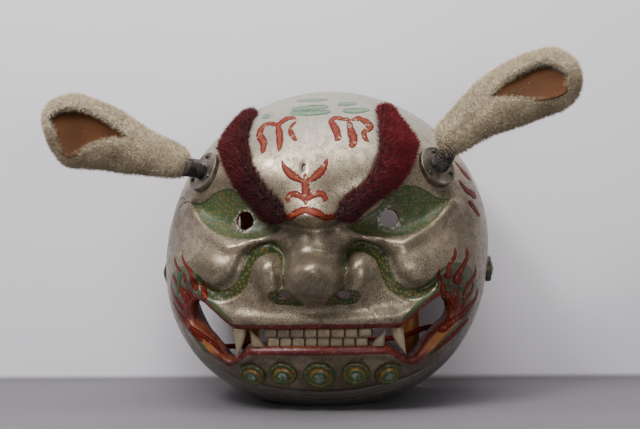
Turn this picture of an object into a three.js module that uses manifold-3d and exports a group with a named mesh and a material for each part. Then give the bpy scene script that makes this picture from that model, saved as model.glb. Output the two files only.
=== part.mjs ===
// Lion dance head of lacquered papier-mache, with plush brows and two plush ears on steel springs.
// Millimetres, +Z up. The face looks along -Y, +X is to the right of someone who faces it, and the
// origin lies on the flat underside.
import * as THREE from 'three';
import { mergeVertices } from 'three/addons/utils/BufferGeometryUtils.js';
import Module from 'manifold-3d';

// Shell, as driving dimensions
const HEAD_WIDTH = 420; // across the widest ring
const HEAD_HEIGHT = 403;
const WIDEST_HEIGHT = 196; // of the widest ring's middle
const BASE_CUT = 8; // how much of the round bottom the flat underside takes off
const DOME_DEPTH = 165; // from the widest ring forward, without the features
const BAND_DEPTH = 100; // from the widest ring back to the open rim
const BAND_TAPER = 0.02; // how much narrower the rim is than the widest ring
const LEAN = 4; // sideways shift of the crown, and of the chin the other way
const WALL = 5;
const LIP_WALL = 15; // the wall round the mouth, where the teeth sit
const GAP = 0.3; // between pieces that touch

// Openings
const EYE_HOLE_RADIUS = 11.3;
const NOSTRIL_WIDTH = 18;
const NOSTRIL_HEIGHT = 9;
const SLOT_WIDTH = 4.6;
const SLOT_HEIGHT = 11;

// Teeth
const TEETH_PER_ROW = 8;
const LOWER_ROW_CLEARANCE = 3.2; // between the lower row and each tusk's root
const UPPER_ROW_REACH = 1.6; // of the upper row past a tusk's root, above which the tusk leans out
const TEETH_NOTCH = 1.2; // between two teeth
const TEETH_THICKNESS = 7;
const TEETH_RECESS = 4; // behind the face of the lips
const TEETH_SPLIT = 2.2; // the dark line between the rows
const FANG_LENGTH = 35;
const FANG_RADIUS = 8.5;
const FANG_SETBACK = 5; // of its middle behind the face of the lips
const TUSK_SHARE = 0.92; // of the mouth slot's height
const TUSK_RADIUS = 8;
const TUSK_SETBACK = 4.5;
const TUSK_LEAN = 0.5; // outward, as a share of its length
const FANG_LEAN = { left: 0.09, right: 0.34 };
const TOOTH_BOW = 3; // how far a fang or tusk bends towards the middle of the mouth
const TOOTH_PROUD = 2; // how far it bends forward

// Bosses
const CHIN_BOSS_RADIUS = 17.5;
const MIDDLE_BOSS_RADIUS = 20;
const SIDE_BOSS_RADIUS = 17;
const BOSS_RISE = 7;

// Eyebrows
const BROW_PILE = 14; // how far the plush stands off the forehead
const BROW_BED = 12; // how far the solid runs into the forehead before it is cut to it

// Ears
const PLATE_RADIUS = 26;
const PLATE_TAPER = 1; // how much wider the plate is at the shell
const PLATE_DEPTH = 16; // from its face back into the shell, before it is cut to the shell
const PLATE_STANDOFF = 4; // of the plate's face from the shell at its middle
const NAIL_RADIUS = 2.6;
const NAIL_CIRCLE = 20;
const SPRING_RADIUS = 9.3; // to the middle of the wire
const SPRING_WIRE = 2.2;
const SPRING_TURNS = 8;
const SPRING_CLEARANCE = 1.2; // between the last turn and the ear's root, which isn't square to it
const EAR_LENGTH = 182;
const EAR_BREADTH = 84;
const EAR_DEPTH = 52;
const EAR_END = 1; // how far the blunt end bulges past its last section
const BOARD_RECESS = 3.2; // of the board's edge below the plush rim
const LINING_WALL = 2;

// Frame inside
const POST_RADIUS = 12;
const POST_SPREAD = 107; // of each post from the middle
const POST_Y = 20;
const BAR_RADIUS = 3.2;

// Derived sizes
const HALF_WIDTH = HEAD_WIDTH / 2;
const RISE = HEAD_HEIGHT - WIDEST_HEIGHT;
const DROP = WIDEST_HEIGHT + BASE_CUT;

// The face is laid out in shares: p of the half width from the middle, q of the rise or the drop
// from the widest ring.
const FOREHEAD_EDGE = [
  { q: 0.14, half: 0.1 },
  { q: 0.2, half: 0.17 },
  { q: 0.285, half: 0.285 },
  { q: 0.444, half: 0.405 },
  { q: 0.623, half: 0.467 },
  { q: 0.8, half: 0.419 },
  { q: 0.913, half: 0.3 },
  { q: 1, half: 0.1 },
];
const FOREHEAD_LIFT = 0.27; // of the dome's depth
const INSIDE_MARGIN = 0.06; // how far the forehead's hollow keeps inside its edge
const INSIDE_EASE = 0.25; // how much smaller a bump's hollow is, and how much wider a dent's back

// Bumps and hollows: middle, radii, height as a share of the dome's depth, and edge sharpness
const BUMPS = [
  { name: 'eye socket', p: 0.48, q: 0.2, rp: 0.34, rq: 0.17, lift: -0.14, edge: 2 },
  { name: 'eyeball', p: 0.42, q: 0.193, rp: 0.13, rq: 0.1, lift: 0.045, edge: 2 },
  { name: 'cheek', p: 0.6, q: -0.05, rp: 0.2, rq: 0.17, lift: 0.08, edge: 2 },
  { name: 'nose bridge', p: 0, q: 0.045, rp: 0.16, rq: 0.22, lift: 0.15, edge: 3 },
  { name: 'nose tip', p: 0, q: -0.15, rp: 0.165, rq: 0.13, lift: 0.23, edge: 4 },
  { name: 'nose wing', p: 0.257, q: -0.113, rp: 0.085, rq: 0.12, lift: 0.13, edge: 3 },
  { name: 'nostril pad', p: 0.17, q: -0.24, rp: 0.12, rq: 0.055, lift: 0.08, edge: 2 },
  { name: 'upper lip pad', p: 0.3, q: -0.345, rp: 0.32, rq: 0.08, lift: 0.04, edge: 2 },
];

// Ridges and grooves, each along a line of p, q points
const STROKES = [
  {
    name: 'lower lid',
    width: 0.045,
    lift: 0.055,
    line: [[0.17, 0.14], [0.3, 0.07], [0.5, 0.055], [0.66, 0.14], [0.8, 0.27]],
  },
  {
    name: 'groove round wing and cheek',
    width: 0.035,
    lift: -0.045,
    line: [
      [0.176, -0.19], [0.178, 0], [0.262, 0.06], [0.36, 0.035], [0.42, -0.035],
      [0.455, -0.125], [0.51, -0.19], [0.6, -0.215], [0.7, -0.175],
    ],
  },
  {
    name: 'crease under nose',
    width: 0.03,
    lift: -0.04,
    line: [[0, -0.32], [0.3, -0.32], [0.42, -0.3]],
  },
  {
    name: 'upper lip rim',
    width: 0.033,
    lift: 0.06,
    line: [[0, -0.4], [0.26, -0.4], [0.49, -0.388], [0.66, -0.255], [0.71, -0.15]],
  },
  {
    name: 'lower lip',
    width: 0.035,
    lift: 0.05,
    line: [[0, -0.58], [0.38, -0.588], [0.53, -0.655], [0.69, -0.58], [0.77, -0.45]],
  },
];

// Right half of the mouth's outline: along the upper lip, round the corner hole and back
const SLOT_TOP = -0.441;
const SLOT_BOTTOM = -0.554;
const MOUTH_CORNER = [
  { p: 0.5, q: SLOT_TOP },
  { p: 0.533, q: -0.395 },
  { p: 0.58, q: -0.363 },
  { p: 0.633, q: -0.324 },
  { p: 0.68, q: -0.304 },
  { p: 0.714, q: -0.324 },
  { p: 0.724, q: -0.373 },
  { p: 0.705, q: -0.431 },
  { p: 0.676, q: -0.48 },
  { p: 0.619, q: -0.549 },
  { p: 0.576, q: -0.608 },
  { p: 0.548, q: -0.637 },
  { p: 0.514, q: -0.637 },
  { p: 0.476, q: -0.613 },
  { p: 0.4, q: SLOT_BOTTOM },
];

// Eyebrows along the edge of the forehead: the inner and outer edge of each in p, from the lower
// end up
const BROWS = {
  left: [
    { q: 0.205, inner: 0.165, outer: 0.225 },
    { q: 0.25, inner: 0.15, outer: 0.28 },
    { q: 0.3, inner: 0.185, outer: 0.32 },
    { q: 0.38, inner: 0.265, outer: 0.405 },
    { q: 0.46, inner: 0.315, outer: 0.455 },
    { q: 0.54, inner: 0.35, outer: 0.52 },
    { q: 0.62, inner: 0.375, outer: 0.58 },
    { q: 0.7, inner: 0.375, outer: 0.55 },
    { q: 0.78, inner: 0.37, outer: 0.45 },
    { q: 0.83, inner: 0.365, outer: 0.43 },
  ],
  right: [
    { q: 0.205, inner: 0.16, outer: 0.205 },
    { q: 0.25, inner: 0.155, outer: 0.235 },
    { q: 0.3, inner: 0.19, outer: 0.295 },
    { q: 0.38, inner: 0.285, outer: 0.42 },
    { q: 0.46, inner: 0.345, outer: 0.505 },
    { q: 0.54, inner: 0.37, outer: 0.545 },
    { q: 0.62, inner: 0.38, outer: 0.565 },
    { q: 0.7, inner: 0.375, outer: 0.5 },
    { q: 0.78, inner: 0.37, outer: 0.435 },
    { q: 0.83, inner: 0.36, outer: 0.41 },
  ],
};

// Section of an eyebrow: how far across the band, and how high as a share of the pile or the bed
const BROW_SECTION = [
  { across: 0, high: 0.3 },
  { across: 0.14, high: 0.8 },
  { across: 0.38, high: 1 },
  { across: 0.62, high: 1 },
  { across: 0.86, high: 0.8 },
  { across: 1, high: 0.3 },
  { across: 0.8, high: -1 },
  { across: 0.2, high: -1 },
];

// Sections of the ears from root to end: along the length, half breadth and half depth as shares,
// and how far the middle of each ear lies above its axis
const EAR_SECTIONS = [
  { t: 0, breadth: 0.38, depth: 0.36, left: 0.04, right: 0 },
  { t: 0.04, breadth: 0.44, depth: 0.5, left: 0.05, right: 0.06 },
  { t: 0.2, breadth: 0.56, depth: 0.66, left: 0.06, right: 0.2 },
  { t: 0.4, breadth: 0.78, depth: 0.88, left: 0.1, right: 0.24 },
  { t: 0.55, breadth: 0.92, depth: 1, left: 0.13, right: 0.21 },
  { t: 0.72, breadth: 1, depth: 0.98, left: 0.1, right: 0.15 },
  { t: 0.84, breadth: 0.93, depth: 0.86, left: 0.18, right: 0.09 },
  { t: 0.93, breadth: 0.72, depth: 0.66, left: 0.27, right: 0.11 },
  { t: 1, breadth: 0.38, depth: 0.4, left: 0.33, right: 0.1 },
];

// The hollow of the ear breaks through the front, so its sections lie forward and up
const EAR_HOLLOW = [
  { t: 0.36, breadth: 0.06, depth: 0.1, left: 0.42, right: 0.46, forward: 0.5 },
  { t: 0.46, breadth: 0.24, depth: 0.5, left: 0.38, right: 0.42, forward: 0.6 },
  { t: 0.6, breadth: 0.44, depth: 0.78, left: 0.28, right: 0.28, forward: 0.6 },
  { t: 0.74, breadth: 0.6, depth: 0.86, left: 0.12, right: 0.16, forward: 0.6 },
  { t: 0.84, breadth: 0.52, depth: 0.74, left: 0.14, right: 0.1, forward: 0.6 },
  { t: 0.91, breadth: 0.28, depth: 0.4, left: 0.2, right: 0.1, forward: 0.6 },
];

// How each ear stands: rise and forward lean of its axis and its turn about that axis in degrees,
// and its root from the middle of its plate, as shares of the half width
const EARS = {
  left: { side: -1, rise: 17.5, forward: 5, turn: 4, out: 0.1, front: 0.133, up: 0.031 },
  right: { side: 1, rise: 27, forward: 5, turn: 22, out: 0.06, front: 0.133, up: 0.144 },
};
const PLATE_AT = { p: 0.693, q: 0.493 };

const wasm = await Module();
wasm.setup();

const smooth = (low, high, value) => THREE.MathUtils.smoothstep(value, low, high);
const qUnit = (q) => (q > 0 ? RISE : DROP);
const toX = (p) => p * HALF_WIDTH;
const toZ = (q) => WIDEST_HEIGHT + q * qUnit(q);
const toQ = (z) => (z - WIDEST_HEIGHT) / qUnit(z - WIDEST_HEIGHT);

function solidOf(geometry) {
  const bare = geometry.index ? geometry.clone() : geometry;
  bare.deleteAttribute('normal');
  bare.deleteAttribute('uv');
  const merged = mergeVertices(bare, 1e-4);
  return new wasm.Manifold(
    new wasm.Mesh({
      numProp: 3,
      vertProperties: new Float32Array(merged.attributes.position.array),
      triVerts: new Uint32Array(merged.index.array),
    }),
  );
}

function geometryOf(solid) {
  const mesh = solid.getMesh();
  const geometry = new THREE.BufferGeometry();
  geometry.setAttribute('position', new THREE.BufferAttribute(mesh.vertProperties, 3));
  geometry.setIndex(new THREE.BufferAttribute(mesh.triVerts, 1));
  return geometry;
}

// The largest piece of a solid that a cut has left in several
function mainPiece(solid) {
  const pieces = solid.decompose();
  pieces.sort((a, b) => b.volume() - a.volume());
  return pieces[0];
}

// A closed mesh from rows of points round an axis, with a point at each end
function skin(rows, first, last) {
  const around = rows[0].length;
  const positions = [first, ...rows.flat(), last].flatMap((v) => [v.x, v.y, v.z]);
  const end = rows.length * around + 1;
  const index = [];
  for (let j = 0; j < around; j += 1) {
    const k = (j + 1) % around;
    index.push(0, 1 + k, 1 + j);
    for (let i = 0; i < rows.length - 1; i += 1) {
      const a = 1 + i * around;
      const b = a + around;
      index.push(a + j, a + k, b + k, a + j, b + k, b + j);
    }
    index.push(end, end - around + j, end - around + k);
  }
  const geometry = new THREE.BufferGeometry();
  geometry.setAttribute('position', new THREE.Float32BufferAttribute(positions, 3));
  geometry.setIndex(index);
  return geometry;
}

// A solid from rows of points in either direction
function outward(rows, first, last) {
  const solid = solidOf(skin(rows, first, last));
  if (solid.volume() > 0) return solid;
  return solidOf(skin(rows.map((row) => [...row].reverse()), first, last));
}

// Distance from a p, q point to a line of points, in shares
function distanceToLine(line, p, q) {
  let best = Infinity;
  for (let i = 1; i < line.length; i += 1) {
    const [ap, aq] = line[i - 1];
    const [bp, bq] = line[i];
    const length = (bp - ap) ** 2 + (bq - aq) ** 2;
    const along = ((p - ap) * (bp - ap) + (q - aq) * (bq - aq)) / length;
    const t = THREE.MathUtils.clamp(along, 0, 1);
    best = Math.min(best, Math.hypot(p - ap - t * (bp - ap), q - aq - t * (bq - aq)));
  }
  return best;
}

// A table's value between its rows, eased so that no row shows as a kink
function between(rows, key, name, at) {
  if (at <= rows[0][key]) return rows[0][name];
  for (let i = 1; i < rows.length; i += 1) {
    if (at <= rows[i][key]) {
      const t = (at - rows[i - 1][key]) / (rows[i][key] - rows[i - 1][key]);
      return THREE.MathUtils.lerp(rows[i - 1][name], rows[i][name], t);
    }
  }
  return rows.at(-1)[name];
}

// How far the features lift the face at p, q, in millimetres. The inside of the shell follows them
// more plainly: without the ridges, with smaller bumps and with wider hollows.
function faceLift(pSigned, q, inside = false) {
  const p = Math.abs(pSigned);
  const onForehead = between(FOREHEAD_EDGE, 'q', 'half', q) - p;
  const inward = inside ? INSIDE_MARGIN : 0;
  const fade = smooth(0.13 + inward, 0.22 + inward, q) * (1 - smooth(0.86, 1.02, q));
  let lift = FOREHEAD_LIFT * smooth(-0.09 + inward, 0.09 + inward, onForehead) * fade;
  for (const bump of BUMPS) {
    const size = inside ? 1 - INSIDE_EASE * Math.sign(bump.lift) : 1;
    const away = Math.hypot((p - bump.p) / bump.rp, (q - bump.q) / bump.rq) / size;
    lift += bump.lift * Math.exp(-(away ** bump.edge));
  }
  for (const stroke of STROKES) {
    const width = stroke.width * (inside ? 2 : 1);
    const away = distanceToLine(stroke.line, p, q) / width;
    if (!inside || stroke.lift < 0) lift += stroke.lift * Math.exp(-(away ** 2));
  }
  return lift * DOME_DEPTH;
}

// The dome without features is a superellipse in front view and in depth. Its upper and lower
// halves have their own roundness.
function domeShape(cos, sin) {
  const low = smooth(-0.4, 0.4, -sin);
  const round = sin > 0 ? 2 : 2.25;
  const across = Math.abs(cos / HALF_WIDTH) ** round;
  const upright = Math.abs(sin / (sin > 0 ? RISE : DROP)) ** round;
  return {
    radius: 1 / (across + upright) ** (1 / round),
    shape: 2.2 + 0.4 * low,
    depthShape: 2 + 0.6 * low,
    shift: LEAN * Math.tanh(2.5 * sin),
  };
}

// Depth of the finished face at x, z
function faceY(x, z) {
  const angle = Math.atan2(z - WIDEST_HEIGHT, x);
  const first = domeShape(Math.cos(angle), Math.sin(angle));
  const plainX = x - first.shift;
  const around = Math.atan2(z - WIDEST_HEIGHT, plainX);
  const dome = domeShape(Math.cos(around), Math.sin(around));
  const share = Math.min(Math.hypot(plainX, z - WIDEST_HEIGHT) / dome.radius, 1);
  const depth = DOME_DEPTH * (1 - share ** dome.shape) ** (1 / dome.depthShape);
  const fade = 1 - smooth(0.86, 0.98, share);
  return -depth - faceLift(x / HALF_WIDTH, toQ(z)) * fade;
}

function faceNormal(x, z) {
  const step = 2;
  const dx = (faceY(x + step, z) - faceY(x - step, z)) / (2 * step);
  const dz = (faceY(x, z + step) - faceY(x, z - step)) / (2 * step);
  return new THREE.Vector3(dx, -1, dz).normalize();
}

// One point of the head: share of the way from the face's middle to the widest ring, angle, and
// offset outward along the plain dome's normal
function headPoint(share, angle, offsetAt, inside) {
  const cos = Math.cos(angle);
  const sin = Math.sin(angle);
  const dome = domeShape(cos, sin);
  const arc = (Math.PI / 2) * share * (0.72 + 0.28 * share);
  const out = Math.sin(arc) ** (2 / dome.shape);
  const deep = Math.max(Math.cos(arc), 0) ** (2 / dome.depthShape);
  const x = out * dome.radius * cos + dome.shift * Math.min(out * 2, 1);
  const z = WIDEST_HEIGHT + out * dome.radius * sin;
  const lift = faceLift(x / HALF_WIDTH, toQ(z), inside) * (1 - smooth(0.86, 0.98, out));
  const slope = (dome.shape * out ** (dome.shape - 1)) / dome.radius;
  const steep = (dome.depthShape * deep ** (dome.depthShape - 1)) / DOME_DEPTH;
  const size = Math.hypot(slope, steep);
  const offset = offsetAt(x, z);
  return new THREE.Vector3(
    x + (offset * slope * cos) / size,
    -DOME_DEPTH * deep - lift - (offset * steep) / size,
    Math.max(z + (offset * slope * sin) / size, -offset),
  );
}

function bandPoint(back, angle, offsetAt, overrun) {
  const cos = Math.cos(angle);
  const sin = Math.sin(angle);
  const dome = domeShape(cos, sin);
  const radius = dome.radius * (1 - BAND_TAPER * back) + offsetAt(0, HEAD_HEIGHT);
  return new THREE.Vector3(
    radius * cos + dome.shift,
    back * (BAND_DEPTH + overrun),
    Math.max(WIDEST_HEIGHT + radius * sin, -offsetAt(0, HEAD_HEIGHT)),
  );
}

// The head's form as a closed solid, grown or shrunk by an offset. Square rings of points give
// the face an even mesh, and the band behind the widest ring follows from the last of them.
const FACE_RINGS = 19;
const INSIDE_RINGS = 12;
const BAND_ROWS = 1;
function headForm(offsetAt, overrun = 0, inside = false) {
  const n = inside ? INSIDE_RINGS : FACE_RINGS;
  const side = 2 * n + 1;
  const points = [];
  for (let i = -n; i <= n; i += 1) {
    for (let j = -n; j <= n; j += 1) {
      const wide = Math.abs(i) > Math.abs(j);
      const reach = wide ? i : j;
      const turn = reach === 0 ? 0 : (Math.PI / 4) * (wide ? j / i : i / j);
      const angle = (wide ? turn : Math.PI / 2 - turn) + (reach < 0 ? Math.PI : 0);
      points.push(headPoint(Math.abs(reach) / n, angle, offsetAt, inside));
    }
  }
  const at = (i, j) => i * side + j;
  const index = [];
  for (let i = 0; i < side - 1; i += 1) {
    for (let j = 0; j < side - 1; j += 1) {
      const [a, b, c, d] = [at(i, j), at(i + 1, j), at(i + 1, j + 1), at(i, j + 1)];
      if ((i < n) === (j < n)) index.push(a, b, c, a, c, d);
      else index.push(a, b, d, b, c, d);
    }
  }
  const edge = [];
  for (let j = 0; j < side - 1; j += 1) edge.push([side - 1, j]);
  for (let i = side - 1; i > 0; i -= 1) edge.push([i, side - 1]);
  for (let j = side - 1; j > 0; j -= 1) edge.push([0, j]);
  for (let i = 0; i < side - 1; i += 1) edge.push([i, 0]);
  let ring = edge.map(([i, j]) => at(i, j));
  const angles = edge.map(([i, j]) => {
    const a = i - n;
    const b = j - n;
    const wide = Math.abs(a) > Math.abs(b);
    const turn = (Math.PI / 4) * (wide ? b / a : a / b);
    return (wide ? turn : Math.PI / 2 - turn) + ((wide ? a : b) < 0 ? Math.PI : 0);
  });
  for (let row = 1; row <= BAND_ROWS; row += 1) {
    const next = ring.map((_, k) => points.length + k);
    angles.forEach((angle) => points.push(bandPoint(row / BAND_ROWS, angle, offsetAt, overrun)));
    ring.forEach((a, k) => {
      const m = (k + 1) % ring.length;
      index.push(a, next[k], next[m], a, next[m], ring[m]);
    });
    ring = next;
  }
  const middle = points.length;
  points.push(new THREE.Vector3(0, BAND_DEPTH + overrun, WIDEST_HEIGHT));
  ring.forEach((a, k) => index.push(a, middle, ring[(k + 1) % ring.length]));
  const geometry = new THREE.BufferGeometry();
  const positions = points.flatMap((v) => [v.x, v.y, v.z]);
  geometry.setAttribute('position', new THREE.Float32BufferAttribute(positions, 3));
  geometry.setIndex(index);
  return solidOf(geometry);
}

// An outline in x and z as a prism that runs along Y between two depths
function prismAlongY(shape, front, back) {
  const geometry = new THREE.ExtrudeGeometry(shape, {
    depth: back - front,
    bevelEnabled: false,
    curveSegments: 8,
  });
  geometry.rotateX(Math.PI / 2);
  geometry.translate(0, back, 0);
  return solidOf(geometry);
}

function ellipseShape(x, z, width, height) {
  const shape = new THREE.Shape();
  shape.absellipse(x, z, width / 2, height / 2, 0, 2 * Math.PI);
  return shape;
}

function mouthShape() {
  const right = MOUTH_CORNER.map(({ p, q }) => new THREE.Vector2(toX(p), toZ(q)));
  const left = right.map((v) => new THREE.Vector2(-v.x, v.y)).reverse();
  return new THREE.Shape([...left, ...right]);
}

// The wall is thick round the mouth, where the teeth are held between the lips
function wallAt(x, z) {
  const p = Math.abs(x) / HALF_WIDTH;
  const q = toQ(z);
  const middle = [[0, -0.5], [0.5, -0.5], [0.66, -0.4]];
  const away = distanceToLine(middle, p, q);
  return WALL + (LIP_WALL - WALL) * (1 - smooth(0.13, 0.24, away));
}

const EYE_AT = { p: 0.42, q: 0.193 };
const NOSTRIL_AT = { p: 0.166, q: -0.235 };
const SLOT_AT = { p: -0.039, q: 0.487 };
const FRONT = -DOME_DEPTH * 1.6;
const MID_FACE = -DOME_DEPTH * 0.18;

function shellSolid() {
  const inner = headForm((x, z) => -wallAt(x, z), BAND_DEPTH * 0.1, true);
  let shell = headForm(() => 0).subtract(inner);
  const eye = 2 * EYE_HOLE_RADIUS;
  const cuts = [mouthShape()];
  for (const side of [-1, 1]) {
    cuts.push(ellipseShape(side * toX(EYE_AT.p), toZ(EYE_AT.q), eye, eye));
    const nostrilX = side * toX(NOSTRIL_AT.p);
    cuts.push(ellipseShape(nostrilX, toZ(NOSTRIL_AT.q), NOSTRIL_WIDTH, NOSTRIL_HEIGHT));
  }
  cuts.push(ellipseShape(toX(SLOT_AT.p), toZ(SLOT_AT.q), SLOT_WIDTH, SLOT_HEIGHT));
  for (const shape of cuts) shell = shell.subtract(prismAlongY(shape, FRONT, MID_FACE));
  return mainPiece(shell);
}

const FANG_AT = { p: 0.452, q: SLOT_TOP };
const TUSK_AT = { p: 0.343, q: SLOT_BOTTOM };

// Teeth follow the lips across the mouth, as far as a clearance from the tusks' roots, with a
// notch between each two
function teethSolid(top, bottom, clearance) {
  const middleZ = toZ((SLOT_TOP + SLOT_BOTTOM) / 2);
  const reach = toX(TUSK_AT.p) - TUSK_RADIUS - clearance;
  const steps = TEETH_PER_ROW * 3;
  const rows = [];
  for (let i = 0; i <= steps; i += 1) {
    const x = (2 * (i / steps) - 1) * reach;
    const notch = i % 3 === 0 ? TEETH_NOTCH : 0;
    const front = faceY(x, middleZ) + TEETH_RECESS + notch;
    const back = front - notch + TEETH_THICKNESS;
    rows.push([
      new THREE.Vector3(x, front, bottom),
      new THREE.Vector3(x, front, top),
      new THREE.Vector3(x, back, top),
      new THREE.Vector3(x, back, bottom),
    ]);
  }
  const centre = (row) => row.reduce((sum, v) => sum.add(v), new THREE.Vector3()).divideScalar(4);
  return solidOf(skin(rows.reverse(), centre(rows[0]), centre(rows.at(-1))));
}

// A tooth that tapers from a flat root along a bent line
function toothSolid(root, tip, bend, radius) {
  const middle = root.clone().lerp(tip, 0.5).add(bend);
  const curve = new THREE.QuadraticBezierCurve3(root, middle, tip);
  const down = tip.z < root.z;
  const rows = [];
  for (let i = 0; i < 5; i += 1) {
    const t = i / 5;
    const centre = curve.getPoint(t);
    const size = radius * (1 - t ** 1.6);
    const row = [];
    for (let j = 0; j < 8; j += 1) {
      const angle = (down ? -1 : 1) * (j / 8) * 2 * Math.PI;
      const across = new THREE.Vector3(Math.cos(angle), 0.72 * Math.sin(angle), 0);
      row.push(centre.clone().addScaledVector(across, size));
    }
    rows.push(row);
  }
  return solidOf(skin(rows, root, tip));
}

// A fang hangs down from the upper lip
function fangSolid(side, lean) {
  const x = side * toX(FANG_AT.p);
  const top = toZ(FANG_AT.q);
  const root = new THREE.Vector3(x, faceY(x, top) + FANG_SETBACK, top - GAP);
  const reach = new THREE.Vector3(side * lean * FANG_LENGTH, -TOOTH_PROUD, -FANG_LENGTH);
  const bend = new THREE.Vector3(-side * TOOTH_BOW, -TOOTH_PROUD, 0);
  return toothSolid(root, root.clone().add(reach), bend, FANG_RADIUS);
}

// A tusk stands on the lower lip and leans out
function tuskSolid(side) {
  const x = side * toX(TUSK_AT.p);
  const bottom = toZ(TUSK_AT.q);
  const length = TUSK_SHARE * (toZ(SLOT_TOP) - bottom);
  const root = new THREE.Vector3(x, faceY(x, bottom) + TUSK_SETBACK, bottom + GAP);
  const reach = new THREE.Vector3(side * TUSK_LEAN * length, -TOOTH_PROUD, length);
  const bend = new THREE.Vector3(-side * TOOTH_BOW, -TOOTH_PROUD, 0);
  return toothSolid(root, root.clone().add(reach), bend, TUSK_RADIUS);
}

// A round boss that sits on the shell: a rim, a groove and a dome
function bossSolid(radius, at, normal, seat) {
  const profile = [
    [0, -0.6], [1, -0.6], [1, 0.25], [0.8, 0.62], [0.62, 0.42], [0.46, 0.86], [0, 1],
  ].map(([r, z]) => new THREE.Vector2(r * radius, z * BOSS_RISE));
  const geometry = new THREE.LatheGeometry(profile, 10);
  geometry.applyQuaternion(new THREE.Quaternion().setFromUnitVectors(UP_AXIS, normal));
  geometry.translate(at.x, at.y, at.z);
  return mainPiece(solidOf(geometry).subtract(seat));
}

const UP_AXIS = new THREE.Vector3(0, 1, 0);
const CHIN_BOSSES = [
  { p: -0.395, q: -0.726 },
  { p: -0.21, q: -0.717 },
  { p: 0, q: -0.73 },
  { p: 0.21, q: -0.717 },
  { p: 0.395, q: -0.726 },
];
const SIDE_BOSS_Q = -0.137;

function onFace(p, q) {
  const x = toX(p);
  const z = toZ(q);
  return new THREE.Vector3(x, faceY(x, z), z);
}

// Plush crescent along the edge of the forehead, its pile in rows of locks. Each row follows the
// face across the band and stands off along the face's normal.
function browSolid(name, side, seat) {
  const table = BROWS[name];
  const steps = 13;
  const low = table[0].q;
  const high = table.at(-1).q;
  const point = (q, across, off) => {
    const inner = between(table, 'q', 'inner', q);
    const outer = between(table, 'q', 'outer', q);
    const at = onFace(side * THREE.MathUtils.lerp(inner, outer, across), q);
    return at.addScaledVector(faceNormal(at.x, at.z), off);
  };
  const rows = [];
  for (let i = 0; i <= steps; i += 1) {
    const q = THREE.MathUtils.lerp(low, high, i / steps);
    const lock = i % 2 === 0 ? 1 : 0.86;
    const ends = i === 0 || i === steps ? 0.6 : 1;
    const row = BROW_SECTION.map(({ across, high: share }) =>
      point(q, across, share < 0 ? share * BROW_BED : share * BROW_PILE * lock * ends),
    );
    rows.push(row);
  }
  const first = point(low, 0.5, 0);
  const last = point(high, 0.5, 0);
  return mainPiece(outward(rows, first, last).subtract(seat));
}

// Where an ear's plate, spring and root stand
function earSeat({ side, out, front, up }) {
  const at = onFace(side * PLATE_AT.p, PLATE_AT.q);
  const root = new THREE.Vector3(side * toX(out), -toX(front), toX(up));
  const normal = faceNormal(at.x, at.z);
  const face = at.clone().addScaledVector(normal, PLATE_STANDOFF);
  return { at, normal, face, end: at.clone().add(root) };
}

function earAxis({ side, rise, forward }) {
  const up = THREE.MathUtils.degToRad(rise);
  const lean = THREE.MathUtils.degToRad(forward);
  const out = side * Math.cos(up) * Math.cos(lean);
  return new THREE.Vector3(out, -Math.cos(up) * Math.sin(lean), Math.sin(up));
}

function plateSolid(ear, seat) {
  const { at, normal } = earSeat(ear);
  const foot = PLATE_RADIUS + PLATE_TAPER;
  const geometry = new THREE.CylinderGeometry(PLATE_RADIUS, foot, PLATE_DEPTH, 20);
  geometry.translate(0, PLATE_STANDOFF - PLATE_DEPTH / 2, 0);
  geometry.applyQuaternion(new THREE.Quaternion().setFromUnitVectors(UP_AXIS, normal));
  geometry.translate(at.x, at.y, at.z);
  return mainPiece(solidOf(geometry).subtract(seat));
}

function nailSolid(ear, turn) {
  const { normal, face } = earSeat(ear);
  const profile = [[0, 0], [1, 0], [0.75, 0.5], [0, 0.7]].map(
    ([r, z]) => new THREE.Vector2(r * NAIL_RADIUS, z * NAIL_RADIUS + GAP),
  );
  const geometry = new THREE.LatheGeometry(profile, 6);
  geometry.translate(NAIL_CIRCLE * Math.cos(turn), 0, NAIL_CIRCLE * Math.sin(turn));
  geometry.applyQuaternion(new THREE.Quaternion().setFromUnitVectors(UP_AXIS, normal));
  geometry.translate(face.x, face.y, face.z);
  return solidOf(geometry);
}

// Coil about a bent middle line, from the plate's face to the ear's root
class Coil extends THREE.Curve {
  constructor(line, normal) {
    super();
    this.line = line;
    this.normal = normal;
  }

  getPoint(t, target = new THREE.Vector3()) {
    const ahead = this.line.getTangent(t);
    const across = new THREE.Vector3().crossVectors(this.normal, ahead).normalize();
    const third = new THREE.Vector3().crossVectors(ahead, across);
    const angle = 2 * Math.PI * SPRING_TURNS * t;
    target.copy(this.line.getPoint(t));
    target.addScaledVector(across, SPRING_RADIUS * Math.cos(angle));
    return target.addScaledVector(third, SPRING_RADIUS * Math.sin(angle));
  }
}

function springSolid(ear) {
  const { normal, face, end } = earSeat(ear);
  const axis = earAxis(ear);
  const start = face.clone().addScaledVector(normal, SPRING_WIRE / 2 + 1.5 * GAP);
  const stop = end.clone().addScaledVector(axis, -SPRING_WIRE / 2 - SPRING_CLEARANCE);
  const reach = start.distanceTo(stop) / 3;
  const line = new THREE.CubicBezierCurve3(
    start,
    start.clone().addScaledVector(normal, reach),
    stop.clone().addScaledVector(axis, -reach),
    stop,
  );
  const sideways = new THREE.Vector3().crossVectors(normal, axis).normalize();
  const coil = new Coil(line, sideways);
  const wire = new THREE.Shape();
  wire.absarc(0, 0, SPRING_WIRE / 2, 0, 2 * Math.PI);
  const geometry = new THREE.ExtrudeGeometry(wire, {
    steps: SPRING_TURNS * 7,
    curveSegments: 3,
    bevelEnabled: false,
    extrudePath: coil,
  });
  return solidOf(geometry);
}

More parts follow.
